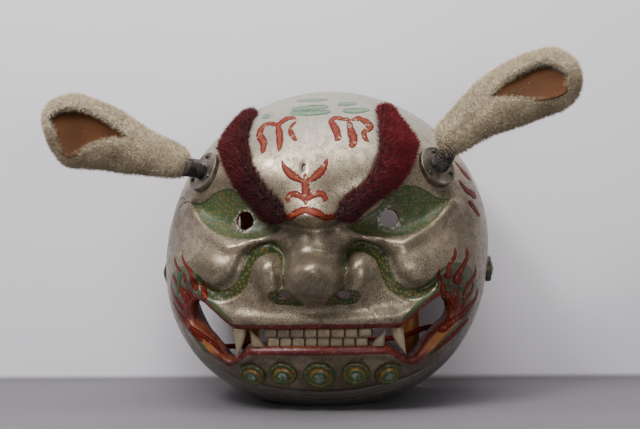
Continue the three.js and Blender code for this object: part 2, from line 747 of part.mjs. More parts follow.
// A closed form along an ear's axis. Its sections are ellipses from a table, grown by a margin.
function earForm(sections, name, margin) {
  const around = 14;
  const middle = (section, along) => {
    const y = (-(section.forward ?? 0) * EAR_DEPTH) / 2;
    return new THREE.Vector3(along, y, (section[name] * EAR_BREADTH) / 2);
  };
  const row = (section) => {
    const centre = middle(section, section.t * EAR_LENGTH);
    const a = (section.breadth * EAR_BREADTH) / 2 + margin;
    const b = (section.depth * EAR_DEPTH) / 2 + margin;
    return Array.from({ length: around }, (_, j) => {
      const angle = (j / around) * 2 * Math.PI;
      const off = new THREE.Vector3(0, -b * Math.sin(angle), a * Math.cos(angle));
      return off.add(centre);
    });
  };
  const first = sections[0];
  const last = sections.at(-1);
  const root = middle(first, first.t * EAR_LENGTH - margin);
  const end = middle(last, last.t * EAR_LENGTH + margin + EAR_END);
  return outward(sections.map(row), root, end);
}

// The plush is the ear's form less its hollow. The lining is a thin scoop that lies in it and
// stops a little below the plush rim.
function earSolids(name) {
  const form = earForm(EAR_SECTIONS, name, 0);
  const bare = earForm(EAR_SECTIONS, name, -BOARD_RECESS);
  const hollow = earForm(EAR_HOLLOW, name, 0);
  const board = earForm(EAR_HOLLOW, name, -GAP);
  const cup = earForm(EAR_HOLLOW, name, -GAP - LINING_WALL);
  return {
    plush: mainPiece(form.subtract(hollow)),
    lining: mainPiece(board.subtract(cup).intersect(bare)),
  };
}

function earGroup(name, ear, solids) {
  const { end } = earSeat(ear);
  const group = new THREE.Group();
  const parts = { ear_plush: solids.plush, ear_lining: solids.lining };
  for (const [part, solid] of Object.entries(parts)) {
    const geometry = geometryOf(solid);
    if (ear.side < 0) {
      geometry.scale(-1, 1, 1);
      const order = geometry.index.array;
      for (let i = 0; i < order.length; i += 3) [order[i], order[i + 1]] = [order[i + 1], order[i]];
    }
    group.add(piece(`${part}_${name}`, geometry, part === 'ear_plush' ? PLUSH : BOARD));
  }
  const axis = earAxis(ear);
  const level = new THREE.Vector3(ear.side, 0, 0);
  const swing = new THREE.Quaternion().setFromUnitVectors(level, axis);
  const turn = THREE.MathUtils.degToRad(-ear.side * ear.turn);
  const roll = new THREE.Quaternion().setFromAxisAngle(level, turn);
  group.quaternion.copy(swing.multiply(roll));
  group.position.copy(end);
  return group;
}

// Upright posts and the bar in front of them, cut to the inside of the shell
function postGeometry(side) {
  const geometry = new THREE.CylinderGeometry(POST_RADIUS, POST_RADIUS, 2 * HEAD_HEIGHT, 16);
  geometry.rotateX(Math.PI / 2);
  geometry.translate(side * POST_SPREAD, POST_Y, 0);
  return geometry;
}

const BAR_LINE = [
  { p: -1.1, q: -0.65 },
  { p: -0.62, q: -0.625 },
  { p: 0, q: -0.6 },
  { p: 0.42, q: -0.575 },
  { p: 0.63, q: -0.51 },
  { p: 1.1, q: -0.44 },
];

function barGeometry() {
  const y = POST_Y - POST_RADIUS - GAP - BAR_RADIUS;
  const line = BAR_LINE.map(({ p, q }) => new THREE.Vector3(toX(p), y, toZ(q)));
  const section = new THREE.Shape();
  section.absarc(0, 0, BAR_RADIUS, 0, 2 * Math.PI);
  return new THREE.ExtrudeGeometry(section, {
    steps: 12,
    curveSegments: 4,
    bevelEnabled: false,
    extrudePath: new THREE.CatmullRomCurve3(line),
  });
}

function material(color, roughness, metalness = 0) {
  return new THREE.MeshStandardMaterial({ color, roughness, metalness, flatShading: true });
}

const LACQUER = material('#a39f96', 0.4, 0.5);
const IVORY = material('#d8d2bd', 0.5);
const GREEN_PAINT = material('#8f9a4a', 0.45);
const BURGUNDY = material('#5a141c', 0.95);
const STEEL = material('#77736b', 0.45, 0.8);
const DARK_STEEL = material('#3b3836', 0.5, 0.8);
const PLUSH = material('#cbbd9b', 0.95);
const BOARD = material('#8a5a34', 0.7);
const WOOD = material('#7a4a26', 0.6);
const RED_PAINT = material('#6b1e18', 0.5);

function piece(name, geometry, look) {
  const mesh = new THREE.Mesh(geometry, look);
  mesh.name = name;
  return mesh;
}

const head = new THREE.Group();
const add = (name, solid, look) => head.add(piece(name, geometryOf(solid), look));

const seat = headForm(() => GAP);
const room = headForm(() => -WALL - GAP, 0, true);
add('head_shell', shellSolid(), LACQUER);

const splitZ = toZ((SLOT_TOP + SLOT_BOTTOM) / 2);
const half = TEETH_SPLIT / 2;
add('upper_teeth', teethSolid(toZ(SLOT_TOP) - GAP, splitZ + half, -UPPER_ROW_REACH), IVORY);
add('lower_teeth', teethSolid(splitZ - half, toZ(SLOT_BOTTOM) + GAP, LOWER_ROW_CLEARANCE), IVORY);

CHIN_BOSSES.forEach(({ p, q }, i) => {
  const at = onFace(p, q);
  const radius = p === 0 ? MIDDLE_BOSS_RADIUS : CHIN_BOSS_RADIUS;
  add(`chin_boss_${i + 1}`, bossSolid(radius, at, faceNormal(at.x, at.z), seat), GREEN_PAINT);
});

for (const [name, ear] of Object.entries(EARS)) {
  const { side } = ear;
  add(`upper_fang_${name}`, fangSolid(side, FANG_LEAN[name]), IVORY);
  add(`lower_tusk_${name}`, tuskSolid(side), IVORY);
  add(`eyebrow_${name}`, browSolid(name, side, seat), BURGUNDY);
  const sideAt = new THREE.Vector3(side * HALF_WIDTH, 0, toZ(SIDE_BOSS_Q));
  const sideways = new THREE.Vector3(side, 0, 0);
  add(`side_boss_${name}`, bossSolid(SIDE_BOSS_RADIUS, sideAt, sideways, seat), GREEN_PAINT);
  add(`ear_plate_${name}`, plateSolid(ear, seat), STEEL);
  for (let i = 0; i < 3; i += 1) {
    const turn = ((i * 2) / 3) * Math.PI + 0.5;
    add(`plate_nail_${name}_${i + 1}`, nailSolid(ear, turn), DARK_STEEL);
  }
  add(`ear_spring_${name}`, springSolid(ear), DARK_STEEL);
  head.add(earGroup(name, ear, earSolids(name)));
  add(`grip_post_${name}`, solidOf(postGeometry(side)).intersect(room), WOOD);
}
add('grip_bar', mainPiece(solidOf(barGeometry()).intersect(room)), RED_PAINT);

export default head;
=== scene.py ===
"""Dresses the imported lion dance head: lacquered shell, painted ornament, teeth, plush brows and ears.

All shapes are worked out in millimetres in the part's frame, with the face along -Y and +Z up, and
are written to their meshes in metres.
"""

import math

import bpy
import numpy as np
from bpy.props import FloatProperty, FloatVectorProperty, IntProperty, PointerProperty
from mathutils import Matrix, Vector


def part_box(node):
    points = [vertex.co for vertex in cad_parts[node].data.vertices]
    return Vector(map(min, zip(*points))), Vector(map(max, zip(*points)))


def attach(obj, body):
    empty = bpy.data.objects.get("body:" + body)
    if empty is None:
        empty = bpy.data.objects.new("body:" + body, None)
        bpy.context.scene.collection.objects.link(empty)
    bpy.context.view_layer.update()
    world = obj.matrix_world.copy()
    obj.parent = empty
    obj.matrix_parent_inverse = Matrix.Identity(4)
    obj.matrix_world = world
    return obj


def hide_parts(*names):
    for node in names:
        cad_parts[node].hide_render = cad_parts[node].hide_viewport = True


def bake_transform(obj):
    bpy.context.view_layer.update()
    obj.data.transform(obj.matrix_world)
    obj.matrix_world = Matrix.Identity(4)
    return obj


bl_info = {
    "name": "Lion dance head",
    "version": (1, 0, 0),
    "blender": (4, 5, 0),
    "location": "3D View > Sidebar > Lion head",
    "description": "Makes a lion dance head over its packed frame",
    "category": "Add Mesh",
}

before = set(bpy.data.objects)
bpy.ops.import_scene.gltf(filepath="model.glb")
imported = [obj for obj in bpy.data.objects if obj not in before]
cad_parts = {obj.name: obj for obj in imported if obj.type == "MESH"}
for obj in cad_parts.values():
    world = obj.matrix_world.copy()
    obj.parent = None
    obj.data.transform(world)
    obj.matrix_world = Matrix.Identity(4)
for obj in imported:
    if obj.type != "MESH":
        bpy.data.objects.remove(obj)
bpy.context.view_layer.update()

# The shell's driving sizes, as in the part
HALF_WIDTH = 210.0
WIDEST_HEIGHT = 196.0
RISE = 207.0
DROP = 204.0
DOME_DEPTH = 165.0
BAND_DEPTH = 100.0
BAND_TAPER = 0.02
LEAN = 4.0
WALL = 5.0
LIP_WALL = 15.0
SIDES = {"left": -1, "right": 1}
BAND_ROWS = 5
HOLES_WITHIN = 0.97  # share of the way to the widest ring within which the holes lie
HOLE_ROUND = 0.9
HOLE_ROUND_WIDTH = 1.6
FAR = -50.0  # depth that stands for well outside a painted area or a hole

# The face is laid out in shares: p of the half width, q of the rise or drop from the widest ring
FOREHEAD_EDGE = np.array([
    (0.14, 0.1), (0.2, 0.17), (0.285, 0.285), (0.444, 0.405),
    (0.623, 0.467), (0.8, 0.419), (0.913, 0.3), (1.0, 0.1),
])
FOREHEAD_LIFT = 0.27

# Bumps and hollows: name, p, q, radius in p, radius in q, lift as a share of the depth, edge
BUMPS = (
    ("eye socket", 0.48, 0.2, 0.34, 0.17, -0.14, 2),
    ("eyeball", 0.42, 0.193, 0.13, 0.1, 0.045, 2),
    ("cheek", 0.6, -0.05, 0.2, 0.17, 0.08, 2),
    ("nose bridge", 0.0, 0.045, 0.16, 0.22, 0.15, 3),
    ("nose tip", 0.0, -0.15, 0.165, 0.13, 0.23, 4),
    ("nose wing", 0.257, -0.113, 0.085, 0.12, 0.13, 3),
    ("nostril pad", 0.17, -0.24, 0.12, 0.055, 0.08, 2),
    ("upper lip pad", 0.3, -0.345, 0.32, 0.08, 0.04, 2),
)

# Broad ridges and grooves: name, width, lift and line of p, q points
RIDGES = (
    ("lower lid", 0.045, 0.055, ((0.17, 0.14), (0.3, 0.07), (0.5, 0.055), (0.66, 0.14), (0.8, 0.27))),
    ("groove round wing and cheek", 0.035, -0.045, (
        (0.176, -0.19), (0.178, 0.0), (0.262, 0.06), (0.36, 0.035), (0.42, -0.035),
        (0.455, -0.125), (0.51, -0.19), (0.6, -0.215), (0.7, -0.175))),
    ("crease under nose", 0.05, -0.016, ((0.0, -0.32), (0.3, -0.32), (0.42, -0.3))),
    ("upper lip rim", 0.045, 0.034, (
        (0.0, -0.4), (0.26, -0.4), (0.49, -0.388), (0.66, -0.255), (0.71, -0.15))),
    ("lower lip", 0.035, 0.05, (
        (0.0, -0.58), (0.38, -0.588), (0.53, -0.655), (0.69, -0.58), (0.77, -0.45))),
)

# Painted strips: p, q and half width in millimetres along each
GROOVE_STRIP = (
    (0.173, -0.185, 1.7), (0.176, -0.11, 1.9), (0.182, -0.04, 2.2), (0.195, 0.005, 3.3),
    (0.215, 0.027, 5.0), (0.262, 0.037, 7.0), (0.318, 0.021, 7.2), (0.367, -0.02, 7.0),
    (0.393, -0.085, 6.7), (0.411, -0.142, 7.0), (0.442, -0.197, 7.0), (0.496, -0.232, 6.6),
    (0.556, -0.243, 6.4), (0.616, -0.227, 5.4), (0.66, -0.185, 4.0), (0.72, -0.11, 1.6),
)
FLAME_STRIP = (
    (0.66, -0.17, 2.0), (0.7, -0.13, 3.0), (0.745, -0.1, 3.0), (0.798, -0.088, 3.6),
    (0.842, -0.12, 4.2), (0.862, -0.177, 3.6), (0.87, -0.244, 2.4), (0.86, -0.3, 1.2),
)
FLAME_GROUND = (
    (0.66, -0.17), (0.74, -0.09), (0.83, -0.08), (0.9, -0.14), (0.925, -0.25), (0.9, -0.36), (0.84, -0.44),
    (0.76, -0.52), (0.66, -0.62), (0.6, -0.62), (0.72, -0.45), (0.78, -0.35), (0.74, -0.26), (0.68, -0.235),
)
LIP_STRIP = (
    (0.7, -0.225, 2.4), (0.645, -0.262, 4.0), (0.59, -0.3, 3.6), (0.53, -0.358, 3.0),
    (0.48, -0.4, 1.0),
)
JAW_STRIP = (
    (0.79, -0.449, 1.8), (0.741, -0.498, 3.4), (0.697, -0.548, 3.9), (0.643, -0.58, 2.6),
    (0.595, -0.6, 1.0),
)
UPPER_LIP_BAND = (
    (0.0, -0.428, 3.4), (0.45, -0.428, 3.2), (0.5, -0.41, 2.8), (0.56, -0.362, 2.5), (0.62, -0.306, 2.3),
    (0.66, -0.272, 2.6), (0.7, -0.252, 3.2), (0.745, -0.272, 4.8), (0.785, -0.32, 7.2), (0.79, -0.375, 8.2),
    (0.755, -0.425, 7.4),
)
LOWER_LIP_BAND = (
    (0.0, -0.577, 5.2), (0.38, -0.575, 5.0), (0.43, -0.592, 4.6), (0.48, -0.632, 4.2), (0.53, -0.663, 3.6),
    (0.575, -0.645, 4.2), (0.62, -0.58, 6.0), (0.68, -0.51, 6.8), (0.74, -0.455, 6.6), (0.8, -0.415, 4.8),
    (0.85, -0.37, 3.0), (0.89, -0.31, 1.0),
)
EYE_LEAF = (
    (0.8, 0.315), (0.735, 0.304), (0.69, 0.314), (0.645, 0.345), (0.6, 0.37), (0.55, 0.385), (0.49, 0.38),
    (0.42, 0.33), (0.34, 0.25), (0.25, 0.19), (0.178, 0.16), (0.21, 0.127), (0.26, 0.106), (0.33, 0.093),
    (0.41, 0.088), (0.475, 0.092), (0.54, 0.104), (0.6, 0.128), (0.65, 0.16), (0.7, 0.2), (0.735, 0.25),
    (0.765, 0.29),
)
NOSTRIL_LEAF = (
    (0.06, -0.302), (0.14, -0.3), (0.215, -0.294), (0.261, -0.257), (0.257, -0.224), (0.21, -0.206),
    (0.153, -0.207), (0.1, -0.238),
)
MOUTH_EDGE = (
    (0.0, -0.441), (0.25, -0.441), (0.47, -0.441), (0.5, -0.425), (0.54, -0.392), (0.6, -0.335),
    (0.655, -0.288),
    (0.7, -0.268), (0.74, -0.285), (0.77, -0.33), (0.775, -0.376), (0.757, -0.42), (0.71, -0.46),
    (0.65, -0.52), (0.6, -0.585), (0.56, -0.64), (0.53, -0.655), (0.5, -0.645), (0.465, -0.605),
    (0.43, -0.572), (0.4, -0.556), (0.2, -0.553), (0.0, -0.553),
)
CHIN_CREASE = (
    (0.0, -0.842), (0.113, -0.835), (0.232, -0.823), (0.375, -0.794), (0.5, -0.763), (0.62, -0.705),
    (0.72, -0.62), (0.83, -0.48),
)

EYE_AT = (0.42, 0.193)
EYE_RADIUS = 11.3
NOSTRIL_AT = (0.166, -0.235)
NOSTRIL_SIZE = (9.0, 4.6)
SLOT_AT = (-0.039, 0.487)
SLOT_SIZE = (2.3, 5.5)

SLOT_TOP = -0.441
SLOT_BOTTOM = -0.554
TEETH_PER_ROW = 8
GAP = 0.3  # between the teeth and the lips, and between the rows
TEETH_RECESS = 4.0
TEETH_THICKNESS = 6.5
UPPER_ROW_REACH = 1.6  # past the roots of the tusks
LOWER_ROW_CLEARANCE = 3.2  # short of the roots of the tusks
FANG_AT = (0.452, SLOT_TOP)
FANG_LENGTH = 32.0
FANG_RADIUS = 8.5
FANG_LEAN = {"left": 0.09, "right": 0.34}
FANG_SETBACK = 5.0
TUSK_AT = (0.343, SLOT_BOTTOM)
TUSK_RADIUS = 8.0
TUSK_SHARE = 0.92  # length as a share of the mouth slot
TUSK_LEAN = 0.5
TUSK_SETBACK = 4.5
TOOTH_BOW = 3.0
TOOTH_PROUD = 2.0
TOOTH_FLATNESS = 0.72
TOOTH_SIDES = 28

CHIN_BOSSES = ((-0.395, -0.726), (-0.21, -0.717), (0.0, -0.73), (0.21, -0.717), (0.395, -0.726))
MIDDLE_BOSS_RADIUS = 20.0
CHIN_BOSS_RADIUS = 17.5
CHIN_BOSS_HEIGHT = 7.0
SIDE_BOSS_Q = -0.137
SIDE_BOSS_RADIUS = 17.0
SIDE_BOSS_HEIGHT = {"left": 10.0, "right": 6.0}
BOSS_SIDES = 72
BOSS_PROFILE = (
    (0.0, -0.6), (0.6, -0.6), (0.98, -0.58), (1.0, -0.2), (0.99, 0.22), (0.93, 0.48), (0.84, 0.6),
    (0.75, 0.56),
    (0.67, 0.42), (0.62, 0.42), (0.56, 0.62), (0.48, 0.84), (0.38, 0.9), (0.31, 0.86), (0.26, 0.9),
    (0.14, 1.02),
    (0.0, 1.05),
)

# Blades of plush: length, width, depth of the root, droop and spread
BROW_BLADE = (10.5, 0.85, 1.5, 0.35, 0.5)
EAR_BLADE = (6.4, 0.62, 1.2, 0.12, 0.75)
BLADE_TIP = (0.0, 0.0, 0.55, 0.55, 1.0)  # how near each point of a blade is to its tip
BLADE_POINTS = len(BLADE_TIP)

BROW_RISE = 8.5
BROW_PAINTED_SHADE = {"left": 0.6, "right": 0.0}  # the left brow is painted darker all over, as painted shade for the light that reaches it less
# Eyebrows: rows of q, inner edge and outer edge in p
BROWS = {
    "left": (
        (0.205, 0.165, 0.225), (0.25, 0.15, 0.28), (0.3, 0.185, 0.32), (0.38, 0.265, 0.405),
        (0.46, 0.315, 0.455),
        (0.54, 0.35, 0.52), (0.62, 0.375, 0.58), (0.7, 0.375, 0.55), (0.78, 0.37, 0.45),
        (0.83, 0.365, 0.43),
    ),
    "right": (
        (0.205, 0.16, 0.205), (0.25, 0.155, 0.235), (0.3, 0.19, 0.295), (0.38, 0.285, 0.42),
        (0.46, 0.345, 0.505),
        (0.54, 0.37, 0.545), (0.62, 0.38, 0.565), (0.7, 0.375, 0.5), (0.78, 0.37, 0.435),
        (0.83, 0.36, 0.41),
    ),
}

# How each ear stands: side, rise, forward lean and turn in degrees, and its root from its plate's
# middle (out, forward and up) as shares of the half width
EARS = {
    "left": (-1, 17.5, 5.0, 4.0, 0.1, 0.133, 0.031),
    "right": (1, 27.0, 5.0, 22.0, 0.06, 0.133, 0.144),
}
PLATE_AT = (0.693, 0.493)
PLATE_STANDOFF = 4.0
PLATE_PROFILE = np.array([
    (0.5, -11.6), (27.0, -12.0), (26.4, -0.6), (26.0, 0.0), (24.6, 0.3), (23.8, 0.0), (22.5, -0.5),
    (16.0, -0.4), (14.4, -0.1), (13.6, 0.0), (4.0, 0.0), (0.5, 0.0),
])
NAILS_PER_PLATE = 3
NAIL_CIRCLE = 20.0
NAIL_PROFILE = np.array([
    (0.1, -1.5), (1.2, -1.5), (1.3, -0.4), (2.7, -0.3), (2.6, 0.4), (2.1, 1.2), (1.1, 1.8), (0.1, 1.9),
])
SPRING_TURNS = 11
SPRING_RADIUS = 10.8
WIRE_RADIUS = 1.15
SPRING_REACH = {"left": (0.5, 0.0), "right": (3.0, 8.0)}  # into the ear: along it and down

# Outlines of the ears and their openings in millimetres: along the ear from its root, and up
EAR_OUTLINE = {
    "left": (
        (-3, 12), (8, 22), (49, 29), (92, 42), (120, 46), (147, 48), (165, 42), (179, 31),
        (184, 21), (184, 6),
        (170, -16), (155, -31), (141, -39), (128, -38), (97, -31), (72, -28), (47, -23), (25, -19),
        (8, -15), (-3, -8),
    ),
    "right": (
        (-10, 8), (-2, 21), (28, 33), (62, 46), (91, 50), (124, 49), (148, 44), (164, 37),
        (174, 22), (178, 6),
        (173, -12), (162, -26), (148, -32), (134, -33), (110, -29), (85, -26), (61, -21),
        (36, -19), (11, -20), (-8, -14),
    ),
}
EAR_SPINE = {
    "left": ((0, 50, 100, 150), (1, 3, 6, 7)),
    "right": ((0, 50, 100, 145), (-2, 10, 10, 5)),
}
EAR_OPENING = {
    "left": (
        (176, 8), (171, 18), (162, 26), (142, 32), (121, 31), (99, 26), (83, 20), (74, 14),
        (78, 8), (94, 3),
        (112, -9), (122, -19), (136, -30), (150, -23), (166, -4),
    ),
    "right": (
        (68, 14), (86, 23), (108, 26), (130, 26), (148, 21), (157, 9), (163, -6), (155, -19), (148, -26),
        (134, -25), (115, -18), (94, -4), (77, 6),
    ),
}

EAR_HALF_DEPTH = ((0, 12, 45, 80, 120, 160, 186), (13, 14, 16, 21, 25, 24, 18))
EAR_STAIN = (0.14, 0.086, 0.036)
EAR_SEED = 41
POCKET_STAIN = 0.93  # faces stained more than this carry no blades
BOARD_THICKNESS = 2.0

POST_SPREAD = 107.0
POST_Y = 20.0
POST_RADIUS = 12.0
BAR_RADIUS = 3.6
BAR_LINE = ((-1.1, -0.65), (-0.62, -0.625), (0.0, -0.6), (0.42, -0.575), (0.63, -0.51), (1.1, -0.44))

# Brush strokes: p, q and width along each, where a width of 1 is this half width in millimetres
BRUSH_HALF_WIDTH = 0.66
BRUSH_SIDES = 16
CURLS = (
    ((-0.083, 0.77, 3), (-0.131, 0.786, 4), (-0.169, 0.773, 5), (-0.199, 0.74, 5), (-0.187, 0.685, 7),
     (-0.182, 0.631, 6), (-0.186, 0.582, 3)),
    ((-0.199, 0.74, 5), (-0.255, 0.757, 4), (-0.293, 0.738, 5), (-0.308, 0.691, 7), (-0.279, 0.642, 7),
     (-0.279, 0.595, 5), (-0.287, 0.573, 2)),
    ((-0.096, 0.763, 3), (-0.125, 0.73, 3), (-0.122, 0.696, 5), (-0.1, 0.662, 4), (-0.083, 0.644, 2)),
    ((0.215, 0.763, 4), (0.171, 0.77, 4), (0.127, 0.778, 4), (0.103, 0.758, 5), (0.131, 0.709, 7),
     (0.145, 0.662, 7), (0.131, 0.636, 3)),
    ((0.203, 0.756, 5), (0.218, 0.695, 7), (0.233, 0.648, 8), (0.222, 0.595, 6)),
    ((0.215, 0.763, 4), (0.258, 0.773, 5), (0.303, 0.749, 6), (0.323, 0.715, 6), (0.293, 0.694, 5),
     (0.294, 0.66, 5), (0.319, 0.63, 3)),
)
# A plain sprig of brush leaves over a curved foot, low on the forehead
ORNAMENT = (
    ((-0.165, 0.535, 1.5), (-0.15, 0.495, 5), (-0.115, 0.455, 8), (-0.07, 0.425, 6), (-0.03, 0.405, 4)),
    ((0.09, 0.54, 1.5), (0.08, 0.5, 5), (0.05, 0.457, 8), (0.012, 0.425, 6), (-0.026, 0.405, 4)),
    ((-0.03, 0.462, 1.5), (-0.028, 0.42, 5), (-0.026, 0.375, 8), (-0.024, 0.33, 7), (-0.022, 0.275, 4)),
    ((-0.024, 0.3, 4), (-0.06, 0.33, 6), (-0.1, 0.34, 6), (-0.128, 0.318, 5), (-0.118, 0.293, 2)),
    ((-0.022, 0.3, 4), (0.014, 0.33, 6), (0.055, 0.34, 6), (0.083, 0.318, 5), (0.073, 0.293, 2)),
    ((-0.138, 0.24, 2), (-0.15, 0.215, 4), (-0.122, 0.205, 6), (-0.075, 0.232, 7), (-0.018, 0.248, 7),
     (0.038, 0.232, 7), (0.09, 0.205, 6), (0.126, 0.215, 4), (0.115, 0.24, 2)),
)
FLAMES = (
    ((-0.795, 0.315, 0.8), (-0.84, 0.308, 1.2), (-0.872, 0.285, 1.1), (-0.893, 0.245, 0.7)),
    ((-0.82, 0.32, 0.6), (-0.855, 0.342, 1.0), (-0.882, 0.33, 0.6)),
    ((0.796, 0.539, 1), (0.837, 0.487, 2.5), (0.867, 0.45, 3.5), (0.899, 0.414, 2)),
    ((0.821, 0.419, 1.5), (0.864, 0.359, 4), (0.9, 0.333, 6), (0.926, 0.301, 4)),
    ((0.878, 0.291, 4.5), (0.913, 0.243, 4), (0.944, 0.191, 3.5)),
    ((-0.88, -0.018, 2), (-0.867, -0.054, 3), (-0.839, -0.09, 3.5), (-0.792, -0.13, 4),
    (-0.788, -0.176, 4)),
    ((-0.815, -0.002, 2), (-0.8, -0.042, 3), (-0.768, -0.078, 4), (-0.738, -0.109, 5), (-0.726, -0.163, 7),
     (-0.702, -0.217, 6)),
    ((-0.89, -0.121, 2), (-0.869, -0.162, 4), (-0.832, -0.206, 6), (-0.792, -0.241, 8),
    (-0.755, -0.277, 9)),
    ((-0.666, -0.153, 5), (-0.664, -0.199, 5), (-0.639, -0.269, 7)),
    ((0.793, 0.013, 2), (0.789, -0.038, 3.5), (0.759, -0.08, 4), (0.749, -0.123, 5), (0.749, -0.167, 10)),
    ((0.859, 0.012, 2), (0.862, -0.042, 3.5), (0.836, -0.1, 5), (0.811, -0.137, 6), (0.801, -0.171, 9),
     (0.815, -0.207, 6)),
    ((0.913, -0.101, 1.5), (0.905, -0.156, 3), (0.869, -0.203, 4), (0.844, -0.25, 3), (0.841, -0.316, 3),
     (0.823, -0.366, 4)),
    ((-0.905, -0.2, 1.5), (-0.885, -0.25, 3), (-0.85, -0.3, 5), (-0.815, -0.34, 6)),
    ((-0.9, -0.29, 1.5), (-0.87, -0.34, 3.5), (-0.83, -0.39, 5), (-0.78, -0.42, 5)),
    ((-0.77, -0.2, 2), (-0.75, -0.24, 4), (-0.72, -0.28, 5)),
    ((-0.835, -0.2, 2), (-0.81, -0.25, 4), (-0.78, -0.3, 5)),
    ((-0.74, -0.13, 1.5), (-0.72, -0.17, 3), (-0.69, -0.21, 4)),
    ((-0.85, -0.38, 1.5), (-0.81, -0.43, 4), (-0.75, -0.48, 5), (-0.69, -0.53, 4)),
    ((0.9, -0.2, 1.5), (0.885, -0.25, 3), (0.85, -0.3, 4)),
    ((0.78, -0.22, 2), (0.8, -0.27, 4), (0.79, -0.32, 5)),
    ((0.7, -0.1, 1.5), (0.695, -0.14, 3), (0.7, -0.19, 4)),
    ((0.93, -0.24, 1), (0.905, -0.31, 3), (0.86, -0.36, 4)),
    ((0.87, -0.42, 2), (0.81, -0.48, 4), (0.74, -0.54, 5), (0.66, -0.6, 3)),
    ((0.72, -0.185, 6), (0.719, -0.25, 5), (0.747, -0.262, 5), (0.78, -0.325, 5), (0.789, -0.362, 3)),
    ((-0.817, -0.411, 4), (-0.777, -0.433, 5), (-0.741, -0.46, 5), (-0.695, -0.492, 5), (-0.639, -0.528, 5),
     (-0.583, -0.569, 5)),
    ((0.894, -0.304, 2), (0.863, -0.356, 5), (0.823, -0.397, 6), (0.754, -0.433, 7), (0.69, -0.485, 9)),
)
GREEN_STROKES = (
    ((-0.798, -0.097, 5), (-0.829, -0.145, 6), (-0.854, -0.246, 4)),
    ((-0.714, -0.112, 3), (-0.687, -0.138, 5), (-0.66, -0.181, 3)),
)
CROWN_DASHES = (
    ((-0.311, 0.804, 3), (-0.28, 0.803, 5), (-0.254, 0.8, 3)),
    ((-0.141, 0.815, 4), (-0.02, 0.812, 6), (0.098, 0.817, 4)),
    ((-0.137, 0.836, 4), (-0.03, 0.846, 6), (0.082, 0.85, 4)),
    ((-0.135, 0.913, 4), (-0.03, 0.911, 6), (0.063, 0.914, 4)),
    ((0.13, 0.87, 4), (0.18, 0.873, 6), (0.239, 0.88, 4)),
    ((0.161, 0.824, 4), (0.24, 0.822, 6), (0.316, 0.83, 4)),
)
# Painted pieces: name, strokes, finish, rise, edge colour, core colour and wear
BRUSHWORK = (
    ("forehead_strokes", CURLS + ORNAMENT, "red_stroke", 0.34,
     (0.145, 0.006, 0.004), (0.21, 0.036, 0.009), 0.8),
    ("flame_strokes", FLAMES, "flame_stroke", 0.32, (0.1, 0.005, 0.003), (0.165, 0.019, 0.005), 0.5),
    ("green_strokes", GREEN_STROKES, "green_stroke", 0.35,
     (0.03, 0.074, 0.022), (0.05, 0.105, 0.036), 0.4),
    ("crown_dashes", CROWN_DASHES, "crown_stroke", 0.25, (0.12, 0.19, 0.12), (0.17, 0.24, 0.16), 0.6),
)

# The camera in metres and degrees, and the half width and focal length of the photograph in pixels
CAMERA_DISTANCE = 1.6
CAMERA_TURN = 5.7
CAMERA_HEIGHT = 0.242
CAMERA_SHIFT = 0.009
CAMERA_ROLL = -1.0
PHOTO_HALF_WIDTH = 320
PHOTO_FOCAL_LENGTH = 1212

# Lights: name, place, target, size and power
LIGHTS = (
    ("key_light", (-0.8, -1.2, 1.62), (0, -0.05, 0.25), 0.6, 31),
    ("top_light", (0.1, -0.68, 1.9), (0, 0.05, 0.3), 1.2, 33),
    ("fill_light", (0.62, -1.8, 0.36), (-0.05, 0, 0.14), 0.6, 6.5),
)
WORLD_COLOR = (0.74, 0.73, 0.76)
WORLD_STRENGTH = 0.17

FLOOR_FRONT = 2500.0
FLOOR_SIDE = 2600.0
WALL_PLACE = 165.0
WALL_TOP = 2200.0
WALL_BEND = 4.0
FLOOR_COLOR = (0.162, 0.153, 0.165)
WALL_COLOR = (0.88, 0.845, 0.885)


# Plain helpers on whole arrays


def smooth(low, high, value):
    """Smooth step from 0 at low to 1 at high."""
    t = np.clip((value - low) / (high - low), 0, 1)
    return t * t * (3 - 2 * t)


def to_x(p):
    return np.asarray(p) * HALF_WIDTH


def to_z(q):
    q = np.asarray(q)
    return WIDEST_HEIGHT + q * np.where(q > 0, RISE, DROP)


def to_q(z):
    return (z - WIDEST_HEIGHT) / np.where(z > WIDEST_HEIGHT, RISE, DROP)


def spline(rows, count, closed=False):
    """Catmull-Rom curve through the rows, as evenly spaced parameters over all its columns."""
    rows = np.asarray(rows, float)
    if closed:
        rows = np.vstack([rows[-1:], rows, rows[:2]])
    else:
        rows = np.vstack([2 * rows[:1] - rows[1:2], rows, 2 * rows[-1:] - rows[-2:-1]])
    spans = len(rows) - 3
    t = np.linspace(0, spans, count, endpoint=not closed)
    k = np.minimum(t.astype(int), spans - 1)
    u = (t - k)[:, None]
    a, b, c, d = rows[k], rows[k + 1], rows[k + 2], rows[k + 3]
    return 0.5 * (2 * b + (c - a) * u + (2 * a - 5 * b + 4 * c - d) * u**2 + (3 * b - a - 3 * c + d) * u**3)


def full_turn(count):
    return np.linspace(0, 2 * math.pi, count, endpoint=False)


def circle(radius, count):
    turn = full_turn(count)
    return np.stack([np.cos(turn), np.sin(turn)], -1) * radius


def on_plane(rows):
    """Rows of p, q and further columns, with p and q turned into x and z in millimetres."""
    rows = np.asarray(rows, float).copy()
    rows[:, 1] = to_z(rows[:, 1])
    rows[:, 0] = to_x(rows[:, 0])
    return rows


